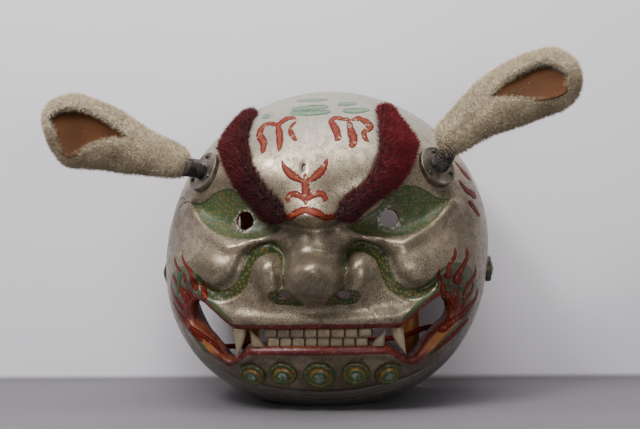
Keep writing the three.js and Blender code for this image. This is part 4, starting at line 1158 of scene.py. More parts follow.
def inside_material():
    """Red-brown lacquer over layered paper, dull and streaked."""
    material, tree, shader, place = finish_of("inner_lacquer")
    tone = noise(tree, place, 22.0, 5.0, 0.6)
    color = toned(tree, tone, 0.3, 0.7, (0.05, 0.018, 0.015), (0.09, 0.03, 0.022))
    link_finish(tree, shader, color, 0.6, None, noise(tree, place, 160.0, 3.0), 0.4, 0.0006)
    return material


def edge_material():
    """The cut edge of the mouth and eye holes: dark red lacquer, worn to brown."""
    material, tree, shader, place = finish_of("edge_lacquer")
    tone = noise(tree, place, 70.0, 4.0, 0.6)
    color = toned(tree, tone, 0.35, 0.65, (0.1, 0.012, 0.008), (0.2, 0.042, 0.012))
    link_finish(tree, shader, color, 0.42, None, tone, 0.3, 0.0005)
    return material


def stroke_material(name, edge, core, wear):
    """Brush paint: a darker edge and a lighter core along the middle, worn to silver in spots."""
    material, tree, shader, place = finish_of(name, Specular_IOR_Level=0.2)
    pair = tree.nodes.new("ShaderNodeTexCoord").outputs["UV"]
    across = maths(tree, "ABSOLUTE", add_node(tree, "ShaderNodeSeparateXYZ", None, Vector=pair).outputs[0])
    middle = stepped(tree, plus(tree, across, wavering(tree, place, 260.0, 3.0, 0.9)), 0.55, 0.3)
    tone = noise(tree, place, 90.0, 3.0, 0.6)
    rim = toned(tree, tone, 0.35, 0.65, edge, tuple(0.62 * v for v in edge))
    color = mixed(tree, times(tree, middle, stepped(tree, tone, 0.3, 0.5)), rim, core)
    silver = grouped(tree, "worn_silver", Vector=place, Dirt=0.9)
    worn = noise(tree, place, 150.0, 5.0, 0.7)
    gone = stepped(tree, worn, 0.66 - 0.1 * wear, 0.7 - 0.1 * wear)
    color = mixed(tree, gone, color, silver.outputs["Color"])
    link_finish(tree, shader, color, 0.55, times(tree, gone, 0.5), tone, 0.25, 0.0004)
    return material


def tooth_material():
    """Ivory paint gone tan at the edges, with red paint in the notches."""
    material, tree, shader, place = finish_of("tooth_ivory")
    tone = noise(tree, place, 70.0, 4.0, 0.6)
    own = stepped(tree, attribute(tree, "own"), -1.0, 1.0)
    color = toned(tree, tone, 0.35, 0.7, (0.35, 0.278, 0.172), (0.205, 0.15, 0.086))
    color = mixed(tree, times(tree, own, 0.6), color, (0.17, 0.14, 0.09))
    edge = plus(tree, attribute(tree, "edge"), times(tree, tone, 0.25))
    color = mixed(tree, times(tree, stepped(tree, edge, 0.75, 1.15), 0.55), color, (0.17, 0.1, 0.05))
    gap = stepped(tree, attribute(tree, "gap"), 0.12, 0.5)
    color = mixed(tree, gap, color, (0.06, 0.014, 0.01))
    link_finish(tree, shader, color, 0.38, None, tone, 0.25, 0.0004)
    return material


def boss_material():
    """Rings of green, gold and olive over a turned boss, with dots, and a worn pale middle."""
    material, tree, shader, place = finish_of("boss_enamel")
    tone = noise(tree, place, 120.0, 3.0, 0.6)
    share = plus(tree, attribute(tree, "share"), wavering(tree, place, 75.0, 3.0, 0.16))
    worn = noise(tree, place, 210.0, 3.0, 0.7)
    pale = toned(tree, worn, 0.4, 0.6, (0.045, 0.085, 0.045), (0.23, 0.25, 0.19))
    teal = toned(tree, tone, 0.3, 0.6, (0.026, 0.06, 0.02), (0.05, 0.09, 0.036))
    gold = toned(tree, tone, 0.35, 0.65, (0.29, 0.155, 0.022), (0.14, 0.062, 0.01))
    olive = toned(tree, tone, 0.3, 0.7, (0.05, 0.075, 0.015), (0.12, 0.13, 0.03))
    dots = grouped(tree, "dotted_green", Vector=place, Olive=0.6, Dots=1.0)
    color = pale
    for low, high, ring in ((0.3, 0.36, teal), (0.5, 0.54, gold), (0.64, 0.67, olive),
                            (0.72, 0.76, dots.outputs["Color"]), (0.96, 1.02, (0.06, 0.05, 0.03))):
        color = toned(tree, share, low, high, color, ring)
    link_finish(tree, shader, color, 0.35, None, tone, 0.35, 0.0005)
    return material


def plush_material(name, color, pile_share, root, stain_and_shade_color):
    """Pile painted darker towards its roots, as painted shade within the pile, with a tone of its own
    for each blade. root is the share of the colour left at the roots."""
    material, tree, shader, place = finish_of(
        name, Specular_IOR_Level=0.15, Sheen_Weight=0.25 * pile_share, Sheen_Roughness=0.5)

    def shaded(share):
        return tuple(min(v * share, 1.0) for v in color)

    # Painted shade: darker towards the roots of the blades and on the backing
    tip = attribute(tree, "tip")
    shade = toned(tree, tip, 0.0, 1.0, shaded(root), shaded(1.0))
    own = times(tree, times(tree, tip, attribute(tree, "tone")), 0.6)
    shade = mixed(tree, own, shade, shaded(1.4))
    patch = times(tree, stepped(tree, noise(tree, place, 30.0, 4.0, 0.6), 0.5, 0.7), 0.5)
    shade = mixed(tree, patch, shade, shaded(0.5))
    # Stains on the ears; on the brows this is painted shade, darker low down and over the whole left brow
    shade = mixed(tree, times(tree, attribute(tree, "stain_and_shade"), 0.75), shade, stain_and_shade_color)
    link_finish(tree, shader, shade, 0.85)
    return material


def board_material():
    """Brown pressed board, with painted shade that darkens it towards its rim."""
    material, tree, shader, place = finish_of("ear_board", Specular_IOR_Level=0.2)
    tone = noise(tree, place, 35.0, 4.0, 0.6)
    fibre = noise(tree, stretched(tree, place, 60.0, 60.0, 300.0), 1.0, 4.0)
    color = toned(tree, tone, 0.3, 0.7, (0.082, 0.026, 0.004), (0.052, 0.016, 0.0025))
    color = mixed(tree, times(tree, fibre, 0.3), color, (0.13, 0.05, 0.012))
    # Painted shadow of the fur's rim over the board
    rim = stepped(tree, attribute(tree, "rim"), 0.66, 0.88)
    color = mixed(tree, times(tree, rim, 0.9), color, (0.014, 0.009, 0.006))
    link_finish(tree, shader, color, 0.7, None, fibre, 0.2, 0.0004)
    return material


def steel_material(name, dark, light):
    """Aged steel with blotches and fine scratches."""
    material, tree, shader, place = finish_of(name)
    tone = noise(tree, place, 90.0, 4.0, 0.65)
    rough = stepped(tree, noise(tree, place, 500.0, 2.0), 0.2, 0.8, 0.3, 0.5)
    color = toned(tree, tone, 0.4, 0.68, dark, light)
    link_finish(tree, shader, color, rough, 0.75, tone, 0.3, 0.0003)
    return material


def wood_material():
    """Warm varnished wood with grain along its length, painted lighter to stand in for the light that
    reaches the posts inside the head.
    """
    material, tree, shader, place = finish_of("post_varnish")
    grain = noise(tree, stretched(tree, place, 260.0, 260.0, 14.0), 1.0, 4.0, 0.6, 0.3)
    # Painted light: the wood is made lighter so that it shows as lit inside the dark head
    color = toned(tree, grain, 0.3, 0.7, (0.85, 0.36, 0.1), (0.5, 0.18, 0.05))
    link_finish(tree, shader, color, 0.35, None, grain, 0.2, 0.0003)
    return material


def bar_material():
    """Red lacquered bar."""
    material, tree, shader, place = finish_of("bar_lacquer")
    tone = noise(tree, place, 80.0, 4.0, 0.6)
    color = toned(tree, tone, 0.35, 0.65, (0.42, 0.018, 0.016), (0.24, 0.012, 0.012))
    link_finish(tree, shader, color, 0.35, None, tone, 0.2, 0.0003)
    return material


def paper_material():
    """Plain paper of the floor and the wall. It is clear from behind."""
    material, tree, shader, place = finish_of("pale_paper")
    high = add_node(tree, "ShaderNodeSeparateXYZ", None, Vector=place).outputs[2]
    color = toned(tree, high, 0.001, 0.012, FLOOR_COLOR, WALL_COLOR)
    color = mixed(tree, times(tree, noise(tree, place, 3.0, 3.0), 0.12), color, (0.45, 0.44, 0.46))
    link_finish(tree, shader, color, 0.75, None, noise(tree, place, 400.0, 2.0), 0.05, 0.0003)
    clear = tree.nodes.new("ShaderNodeBsdfTransparent")
    facing = tree.nodes.new("ShaderNodeNewGeometry")
    mix = tree.nodes.new("ShaderNodeMixShader")
    tree.links.new(facing.outputs["Backfacing"], mix.inputs[0])
    tree.links.new(shader.outputs[0], mix.inputs[1])
    tree.links.new(clear.outputs[0], mix.inputs[2])
    tree.links.new(mix.outputs[0], tree.nodes["Material Output"].inputs[0])
    return material


# Settings and operators


class HeadLook(bpy.types.PropertyGroup):
    """Finishes and finenesses of the head that a user would change."""

    dirt: FloatProperty(
        name="Dirt", description="Dark specks in the silver lacquer",
        default=0.9, min=0, max=1)
    metal: FloatProperty(
        name="Metal", description="How metallic the silver lacquer is",
        default=0.6, min=0, max=1)
    core: IntProperty(
        name="Core cells", description="Half the cells across the square middle of the face",
        default=60, min=10, max=90)
    pile_count: IntProperty(
        name="Brow blades", description="Blades of plush on each eyebrow",
        default=15000, min=100, max=30000)
    brow_color: FloatVectorProperty(
        name="Brow colour", description="Burgundy of the eyebrows",
        default=(0.222, 0.0145, 0.021), subtype="COLOR")
    ear_pile_count: IntProperty(
        name="Ear blades", description="Blades of plush on each ear",
        default=42000, min=100, max=50000)
    ear_color: FloatVectorProperty(
        name="Ear colour", description="Cream of the ears",
        default=(0.7, 0.595, 0.425), subtype="COLOR")


def look():
    return bpy.context.scene.head_look


class LIONHEAD_OT_shell(bpy.types.Operator):
    """The lacquered shell: an outer and an inner sheet, opened at eyes, nostrils, forehead and mouth"""

    bl_idname = "lionhead.shell"
    bl_label = "Shell"

    def execute(self, context):
        core = look().core
        share, angle, back, triangles = shell_grid(core, core, BAND_ROWS)
        on_band = back > 0
        outer, x, z = shell_point(share, angle, 0.0)
        inner = shell_point(share, angle, lambda a, b: -wall_at(a, b), inside=True)[0]
        outer = np.where(on_band[:, None], band_point(back, angle, 0.0), outer)
        inner = np.where(on_band[:, None], band_point(back, angle, -WALL), inner)
        depth = np.where(on_band | (share > HOLES_WITHIN), FAR, hole_depth(x, z))
        edge_round = HOLE_ROUND * np.exp(-((np.minimum(depth, 0) / HOLE_ROUND_WIDTH) ** 2))
        outer[:, 1] += np.where(depth > -5 * HOLE_ROUND_WIDTH, edge_round, 0)
        triangles, one, two, part = opened(triangles, depth)
        part = part[:, None]
        outer = outer[one] * (1 - part) + outer[two] * part
        inner = inner[one] * (1 - part) + inner[two] * part
        on_band = on_band[one] & on_band[two]
        edges = open_edges(triangles)
        count = len(outer)
        walls = np.vstack([
            np.stack([edges[:, 1], edges[:, 0], edges[:, 0] + count], -1),
            np.stack([edges[:, 1], edges[:, 0] + count, edges[:, 1] + count], -1),
        ])
        rim_edge = on_band[edges].all(1)
        faces = np.vstack([triangles, triangles[:, ::-1] + count, walls])
        slots = np.concatenate([
            np.zeros(len(triangles)), np.ones(len(triangles)), np.tile(np.where(rim_edge, 1, 2), 2)])
        shell = mesh_piece(
            "head_shell_lacquer", np.vstack([outer, inner]), faces,
            [shell_material(look()), inside_material(), edge_material()], slots,
            {key: np.tile(value, 2) for key, value in self.paint(outer, on_band).items()})
        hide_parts("head_shell")
        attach(shell, "head")
        return {"FINISHED"}

    def paint(self, points, on_band):
        """Attributes of the paint: how far each point lies inside each painted area, in millimetres, and
        shares of each colour, of grime and painted shade, of wear and of painted highlight."""
        side, z = np.abs(points[:, 0]), points[:, 2]
        p, q = side / HALF_WIDTH, to_q(z)
        leaf, groove, nostril = leaf_depths(side, z)
        strips = np.max([strip_depth(rows, side, z) for rows in (FLAME_STRIP, LIP_STRIP, JAW_STRIP)], 0)
        green = np.max([leaf, groove, nostril, strips], 0)
        red = np.maximum(strip_depth(UPPER_LIP_BAND, side, z), strip_depth(LOWER_LIP_BAND, side, z))
        crease = strip_depth([(a, b, 0.9) for a, b in CHIN_CREASE[:6]], side, z)
        ground = outline_depth(on_plane(spline(FLAME_GROUND, 90, True)), side, z)
        below = crease_height(side) - z
        return {
            "green": np.where(on_band, FAR, green),
            "olive": np.where((groove > leaf) | (nostril > leaf), 1.0, 0.0) * (strips < -1),
            "dots": (strips < 0).astype(float),
            # silver painted darker: partly grime, partly painted shade
            "grime_and_shade": self.grime_and_shade(p, q),
            # pale ring round the eye holes: chipped paint and a painted highlight
            "chip_and_glint": np.exp(-((eye_depth(side, z) / 3.2) ** 2)),
            "ground": np.where(on_band, FAR, ground),
            "red": np.where(on_band, FAR, red),
            "amber": smooth(0.58, 0.66, p) * smooth(-0.38, -0.44, q) * (z > 0),
            # the chin's crease painted dark: painted shade
            "dark": np.where(on_band, FAR, crease),
            "crown": smooth(0.45, 0.85, q),
            "rim": np.where(on_band, 1.0, smooth(-2, 4, below) * (q < 0)) * smooth(0.35, -0.1, q),
        }

    def grime_and_shade(self, p, q):
        """Where the silver is painted darker, partly grime and partly painted shade: towards the flanks
        and the chin, at the foot of the forehead, in the grooves, on the underside of the nose and
        cheeks, in the middle of the forehead, and over the lower face."""
        on_forehead = np.interp(q, FOREHEAD_EDGE[:, 0], FOREHEAD_EDGE[:, 1]) - p
        foot = np.exp(-((on_forehead / 0.07) ** 2)) * smooth(0.08, 0.16, q) * smooth(0.75, 0.5, q)
        low = smooth(-0.45, -0.8, q)
        flank = 0.75 * smooth(0.5, 0.95, p) * smooth(0.6, 0.3, q)
        under = 0.0
        for name, width, height, line in RIDGES:
            if height < 0:
                share = 0.25 if name == "crease under nose" else 0.7
                away = line_distance(line, p, q) / (width * 1.8)
                under = np.maximum(under, share * np.exp(-(away**2)))
        brow = 0.32 * np.exp(-((p / 0.3) ** 2) - ((q - 0.52) / 0.22) ** 2)
        nose = 0.8 * np.exp(-(np.hypot(p / 0.17, (q + 0.2) / 0.09) ** 4))
        face = 0.25 * smooth(0.2, -0.1, q)
        return np.clip(np.max([foot, low, flank, under, nose, brow, face], 0), 0, 1)


class LIONHEAD_OT_brushwork(bpy.types.Operator):
    """Painted flame curls, a sprig, flames beside the mouth and green dashes on the crown"""

    bl_idname = "lionhead.brushwork"
    bl_label = "Brushwork"

    def execute(self, context):
        for name, strokes, paint, rise, edge, core, wear in BRUSHWORK:
            parts = [self.stroke(rows, rise) for rows in strokes]
            points, faces = joined([(points, faces) for points, faces, _ in parts])
            obj = mesh_piece(name, points, faces, [stroke_material(paint, edge, core, wear)],
                             uv=np.vstack([pairs for _, _, pairs in parts]))
            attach(obj, "head")
        return {"FINISHED"}

    def stroke(self, rows, rise):
        """A flat lens of paint along a curve on the face: its width follows the brush, its section
        is an ellipse, and its ends are round. The pairs are across and along the stroke."""
        count = max(12, 9 * (len(rows) - 1))
        line = on_plane(spline(rows, count))
        x, z = line[:, 0], line[:, 1]
        to_end = np.minimum(np.linspace(0, 14, count), np.linspace(14, 0, count))
        ends = np.sqrt(np.clip(to_end / 1.2, 0.04, 1))
        half = line[:, 2] * BRUSH_HALF_WIDTH * ends
        half = half * (1 + 0.08 * np.sin(x * 0.9 + z * 0.7) + 0.05 * np.sin(z * 2.1))
        ahead = unit(np.stack([np.gradient(x), np.gradient(z)], -1))
        across = np.stack([-ahead[:, 1], ahead[:, 0]], -1)
        turn = full_turn(BRUSH_SIDES)
        side = np.cos(turn)[None, :] * half[:, None]
        px = x[:, None] + across[:, :1] * side
        pz = z[:, None] + across[:, 1:] * side
        lift = np.sin(turn)[None, :] * rise * ends[:, None]
        lift = np.where(lift > 0, lift, lift * 2.5)
        points, faces = capped_tube(on_face(px, pz, lift))
        along = np.repeat(np.linspace(0, 1, count), BRUSH_SIDES)
        pairs = np.stack([np.tile(np.cos(turn), count), along], -1)
        return points, faces, np.vstack([pairs, [[0, 0], [0, 1]]])


class LIONHEAD_OT_teeth(bpy.types.Operator):
    """Two rows of teeth between the lips, two fangs and two tusks"""

    bl_idname = "lionhead.teeth"
    bl_label = "Teeth"

    def execute(self, context):
        ivory = tooth_material()
        top, bottom = to_z(SLOT_TOP), to_z(SLOT_BOTTOM)
        middle = to_z((SLOT_TOP + SLOT_BOTTOM) / 2)
        root = to_x(TUSK_AT[0]) - TUSK_RADIUS
        self.row("upper_teeth", middle + GAP, top - GAP, root + UPPER_ROW_REACH, 1, ivory)
        self.row("lower_teeth", bottom + GAP, middle - GAP, root - LOWER_ROW_CLEARANCE, -1, ivory)
        tusk_length = TUSK_SHARE * (top - bottom)
        for name, side in SIDES.items():
            x, z = side * to_x(FANG_AT[0]), to_z(FANG_AT[1])
            at = np.array([x, float(face_y(x, z)) + FANG_SETBACK, z - GAP])
            reach = [side * FANG_LEAN[name] * FANG_LENGTH, -TOOTH_PROUD, -FANG_LENGTH]
            self.tooth(f"upper_fang_{name}", at, reach, side, FANG_RADIUS, ivory)
            x, z = side * to_x(TUSK_AT[0]), to_z(TUSK_AT[1])
            at = np.array([x, float(face_y(x, z)) + TUSK_SETBACK, z + GAP])
            reach = [side * TUSK_LEAN * tusk_length, -TOOTH_PROUD, tusk_length]
            self.tooth(f"lower_tusk_{name}", at, reach, side, TUSK_RADIUS, ivory)
        return {"FINISHED"}

    def row(self, node, low, high, reach, biting, ivory):
        """One row: a rounded block section swept across the mouth. The front follows the face and
        bulges at each tooth, and narrow notches run between them."""
        u = np.linspace(0, TEETH_PER_ROW, TEETH_PER_ROW * 22 + 1)
        x = (2 * u / TEETH_PER_ROW - 1) * reach
        x = x + 0.5 * np.sin(u * 2.4) * np.sin(np.pi * np.clip(u / TEETH_PER_ROW, 0, 1))
        away = np.abs(u - np.round(u))
        notch = np.exp(-((away / 0.035) ** 2))
        crown = 1 - np.exp(-((away / 0.13) ** 2))
        own = np.sin(np.floor(u) * 37.0 + 2 * biting)
        middle = to_z((SLOT_TOP + SLOT_BOTTOM) / 2)
        front = face_y(x, np.full_like(x, middle)) + TEETH_RECESS + 1.9 * notch - 0.9 * crown + 0.35 * own
        short = 0.7 * (1 - crown) + 0.3 * (own + 1) / 2
        deep = np.repeat([0.0, 1.0], [6, 3])
        tall = np.concatenate([np.linspace(0, 1, 6), [1.0, 0.5, 0.0]])
        round_in = 1.1 * np.exp(-((tall / 0.14) ** 2)) + 1.1 * np.exp(-(((1 - tall) / 0.14) ** 2))
        y = front[:, None] + deep * TEETH_THICKNESS + round_in * (1 - deep)
        z = low + (high - low) * tall[None, :]
        edge = tall if biting < 0 else 1 - tall
        z = z + biting * short[:, None] * smooth(0.6, 1.0, edge)
        sections = np.stack([np.broadcast_to(x[:, None], y.shape), y, z], -1)
        points, faces = capped_tube(sections)
        gap = np.repeat(np.exp(-((away / 0.05) ** 2)), len(tall))
        extra = {"gap": np.append(gap, [1, 1]), "own": np.append(np.repeat(own, len(tall)), [0, 0]),
                 "edge": np.append(np.tile(1 - edge, len(x)), [0, 0])}
        obj = mesh_piece(f"{node}_ivory", points, faces, [ivory], attributes=extra)
        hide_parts(node)
        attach(obj, "head")

    def tooth(self, node, at, reach, side, radius, ivory):
        """A tapered tooth along a bent line: radius falls as 1 - t^1.6, and the section is a little
        flat from front to back."""
        reach = np.array(reach, float)
        t = np.linspace(0, 0.995, 30)[:, None]
        middle = at + reach / 2 + np.array([-side * TOOTH_BOW, -TOOTH_PROUD, 0.0])
        line = at * (1 - t) ** 2 + 2 * middle * t * (1 - t) + (at + reach) * t**2
        size = radius * (1 - t**1.6)
        cos, sin = np.cos(full_turn(TOOTH_SIDES)), np.sin(full_turn(TOOTH_SIDES))
        square = (np.abs(cos) ** 2.5 + np.abs(sin) ** 2.5) ** (-1 / 2.5)
        section = np.stack([cos * square, TOOTH_FLATNESS * (sin * square), 0 * cos], -1)
        points, faces = capped_tube(line[:, None, :] + section[None] * size[:, :, None] * 0.97)
        root = np.append(np.repeat(1 - t[:, 0], TOOTH_SIDES), [1, 0])
        zero = np.zeros(len(points))
        obj = mesh_piece(f"{node}_ivory", points, faces, [ivory],
                         attributes={"gap": zero, "own": zero + 1, "edge": root})
        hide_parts(node)
        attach(obj, "head")


class LIONHEAD_OT_bosses(bpy.types.Operator):
    """Five painted bosses on the chin and one on each flank"""

    bl_idname = "lionhead.bosses"
    bl_label = "Bosses"

    def execute(self, context):
        enamel = boss_material()
        for i, (p, q) in enumerate(CHIN_BOSSES):
            x, z = to_x(p), to_z(q)
            depth, normal = plain_face(x, z)
            radius = MIDDLE_BOSS_RADIUS if p == 0 else CHIN_BOSS_RADIUS
            at = np.array([x, float(depth), z])
            self.boss(f"chin_boss_{i + 1}", at, normal, radius, CHIN_BOSS_HEIGHT, enamel)
        for name, side in SIDES.items():
            at = np.array([side * HALF_WIDTH, 0.0, to_z(SIDE_BOSS_Q)])
            out = np.array([side, 0.0, 0.0])
            self.boss(f"side_boss_{name}", at, out, SIDE_BOSS_RADIUS, SIDE_BOSS_HEIGHT[name], enamel)
        return {"FINISHED"}

    def boss(self, node, at, out, radius, tall, enamel):
        """A turned form: a rim, a groove and a dome with a small dimpled crown. Radius runs out along
        a spline through the profile and the angle turns it."""
        profile = spline(BOSS_PROFILE, 60)
        r = np.maximum(profile[:, 0], 0.001) * radius
        petals = np.exp(-((r / radius - 0.2) / 0.1) ** 2)[:, None]
        height = profile[:, 1:] * tall + 0.35 * np.cos(6 * full_turn(BOSS_SIDES)) * petals
        points, faces = turned(r, height, at, unit(np.asarray(out, float)), BOSS_SIDES)
        share = np.append(np.repeat(r / radius, BOSS_SIDES), [0, 0])
        obj = mesh_piece(f"{node}_painted", points, faces, [enamel], attributes={"share": share})
        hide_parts(node)
        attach(obj, "head")


class LIONHEAD_OT_brows(bpy.types.Operator):
    """Burgundy plush crescents on the edges of the forehead"""

    bl_idname = "lionhead.brows"
    bl_label = "Eyebrows"

    def execute(self, context):
        color = look().brow_color
        # A near-black copy of the brow colour, for the painted shade
        stain_and_shade_color = tuple(0.1 * v for v in color)
        base = plush_material("brow_backing", color, 0.35, 0.25, stain_and_shade_color)
        hair = plush_material("brow_pile", color, 1.0, 0.25, stain_and_shade_color)
        for name, side in SIDES.items():
            points, faces, cover = self.band(name, side)
            comb = unit(np.array([side * 0.6, -0.15, 0.75]))
            body, order, slots, extra, roots = furred(
                points, faces, faces[:cover], look().pile_count, comb, BROW_BLADE,
                (11 + side, 23 + side, 5), 0.25)
            high = np.concatenate([points[:, 2], np.repeat(roots[:, 2], BLADE_POINTS)])
            # Painted shade: each brow darker towards its lower end, the left one darker all over
            low = smooth(to_z(0.5), to_z(0.2), high)
            extra["stain_and_shade"] = np.clip(BROW_PAINTED_SHADE[name] + 0.85 * low, 0, 1)
            obj = mesh_piece(f"eyebrow_plush_{name}", body, order, [base, hair], slots, extra)
            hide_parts(f"eyebrow_{name}")
            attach(obj, "head")
        return {"FINISHED"}

    def band(self, name, side):
        """The backing: rows across the band between its inner and outer edge, standing off the face
        by the rise times a flat arch, with soft lumps, and closed underneath."""
        table = np.array(BROWS[name])
        count, across = 90, 26
        q = np.linspace(table[0, 0], table[-1, 0], count)[:, None]
        inner = np.interp(q, table[:, 0], table[:, 1])
        outer = np.interp(q, table[:, 0], table[:, 2])
        s = np.linspace(0, 1, across)[None, :]
        x = side * to_x(inner + (outer - inner) * s)
        z = to_z(q) + np.zeros_like(x)
        t = np.linspace(0, 1, count)[:, None]
        ends = np.clip(np.minimum(t, 1 - t) / 0.05, 0.0, 1) ** 0.5
        arch = (1 - np.abs(2 * s - 1) ** 3.2) ** 0.45
        lumps = 0.9 + 0.1 * np.sin(z * 0.21 + x * 0.13) * np.sin(x * 0.19 - z * 0.08)
        over = on_face(x, z, 1.0 + BROW_RISE * ends * arch * lumps)
        under = on_face(x[:, ::-1], z, np.full(x.shape, 0.4))
        sections = np.concatenate([over, under[:, 1:-1]], 1)
        points, faces = capped_tube(sections)
        top = np.zeros(len(points), bool)
        top[:count * sections.shape[1]] = np.tile(np.arange(sections.shape[1]) < across, count)
        upper = top[faces].all(1)
        return points, np.vstack([faces[upper], faces[~upper]]), int(upper.sum())


class LIONHEAD_OT_ears(bpy.types.Operator):
    """Two cream plush ears with a brown board in each"""

    bl_idname = "lionhead.ears"
    bl_label = "Ears"

    def execute(self, context):
        base = plush_material("ear_backing", look().ear_color, 0.4, 0.55, EAR_STAIN)
        hair = plush_material("ear_pile", look().ear_color, 1.0, 0.55, EAR_STAIN)
        board = board_material()
        for name in EARS:
            self.plush(name, base, hair)
            self.lining(name, board)
        return {"FINISHED"}

    def plush(self, name, base, hair):
        """A pillow over the ear's outline: rings shrink from the outline to the middle line, the
        front and back stand off by the thickness, and the opening is pressed back into the front
        as a pocket."""
        outline = spline(EAR_OUTLINE[name], 200, True)
        share = np.sin(np.linspace(0, math.pi / 2, 44))[:, None]
        low, high = outline[:, 0].min() + 15, outline[:, 0].max() - 34
        spine_x = np.clip(outline[:, 0], low, high)
        spine_z = np.interp(spine_x, EAR_SPINE[name][0], EAR_SPINE[name][1])
        x = spine_x + (outline[:, 0] - spine_x) * share
        z = spine_z + (outline[:, 1] - spine_z) * share
        thick = np.interp(x, *EAR_HALF_DEPTH) * (1 - np.clip(share, 0, 1) ** 2.4) ** 0.5
        lumps = (0.6 * np.sin(x * 0.16 + z * 0.11) + 0.5 * np.sin(z * 0.23 - x * 0.07)) * (1 - share**4)
        pocket = smooth(-0.5, 3.5, outline_depth(spline(EAR_OPENING[name], 90, True), x, z))
        front = -thick - lumps
        front = front * (1 - pocket) + np.maximum(front, self.floor(x, z) + 2.5) * pocket
        front_points = self.place(name, x, front, z)
        back_points = self.place(name, x, thick + lumps * 0.6, z)
        points, faces = capped_tube(np.concatenate([front_points, back_points[::-1][1:]], 0))
        stain_and_shade = self.stain_and_shade(pocket, x, z)
        outer = faces[stain_and_shade[faces].min(1) <= POCKET_STAIN]
        count = look().ear_pile_count
        body, order, slots, extra, _ = furred(
            points, faces, outer, count, ear_seat(name)["axis"], EAR_BLADE, (EAR_SEED, 51, 6), 0.3)
        near = nearest_values(points, stain_and_shade, outer, count, EAR_SEED)
        extra["stain_and_shade"] = np.concatenate([stain_and_shade, np.repeat(near, BLADE_POINTS)])
        obj = mesh_piece(f"ear_fleece_{name}", body, order, [base, hair], slots, extra)
        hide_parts(f"ear_plush_{name}")
        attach(obj, f"ear_{name}")

    def stain_and_shade(self, pocket, x, z):
        """Stain at each point of the front, the back and the two ends: full in the pocket, and in
        blotches along the lower edge."""
        within = np.append(np.concatenate([pocket.ravel(), np.zeros(x[1:].size)]), [0, 0])
        high = np.append(np.concatenate([z.ravel(), z[::-1][1:].ravel()]), [0, 0])
        along = np.append(np.concatenate([x.ravel(), x[::-1][1:].ravel()]), [0, 0])
        blotch = np.sin(along * 0.11 + 1.3 * np.sin(high * 0.13)) * np.sin(high * 0.17 + along * 0.05)
        return np.maximum(within, (0.7 + 0.2 * blotch) * smooth(8, -18, high))

    def floor(self, x, z):
        """Depth of the board: it lies deeper towards the outer and upper edge."""
        return -13.0 + 0.05 * (x - 110) + 0.1 * (z - 5)

    def lining(self, name, board):
        """A thin board across the pocket: rings from its middle to the opening's outline, a little
        dished, with a back side behind it."""
        edge = spline(EAR_OPENING[name], 120, True)
        centre = edge.mean(0)
        share = np.linspace(0.02, 1.035, 26)[:, None]
        x = centre[0] + (edge[:, 0] - centre[0]) * share
        z = centre[1] + (edge[:, 1] - centre[1]) * share
        depth = self.floor(x, z) - 3.5 * np.clip(share, 0, 1) ** 4
        front = self.place(name, x, depth, z)
        rear = self.place(name, x, depth + BOARD_THICKNESS, z)
        points, faces = capped_tube(np.concatenate([front, rear[::-1]], 0))
        # Painted shadow: darker towards the outline, most at the upper and outer edge, under the fur's rim
        toward = unit(edge - centre)
        shaded = share * np.clip(0.72 + 0.3 * (toward[:, 0] * 0.5 + toward[:, 1] * 0.85), 0, 1)
        rim = np.append(np.concatenate([shaded.ravel(), np.ones(x.size)]), [0, 1])
        obj = mesh_piece(f"ear_board_{name}", points, faces, [board], attributes={"rim": rim})
        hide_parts(f"ear_lining_{name}")
        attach(obj, f"ear_{name}")

    def place(self, name, x, y, z):
        """Points from the ear's own along, depth and up to the head's frame."""
        seat = ear_seat(name)
        along, deep, high = x[..., None], y[..., None], z[..., None]
        return seat["root"] + along * seat["axis"] + deep * seat["back"] + high * seat["up"]


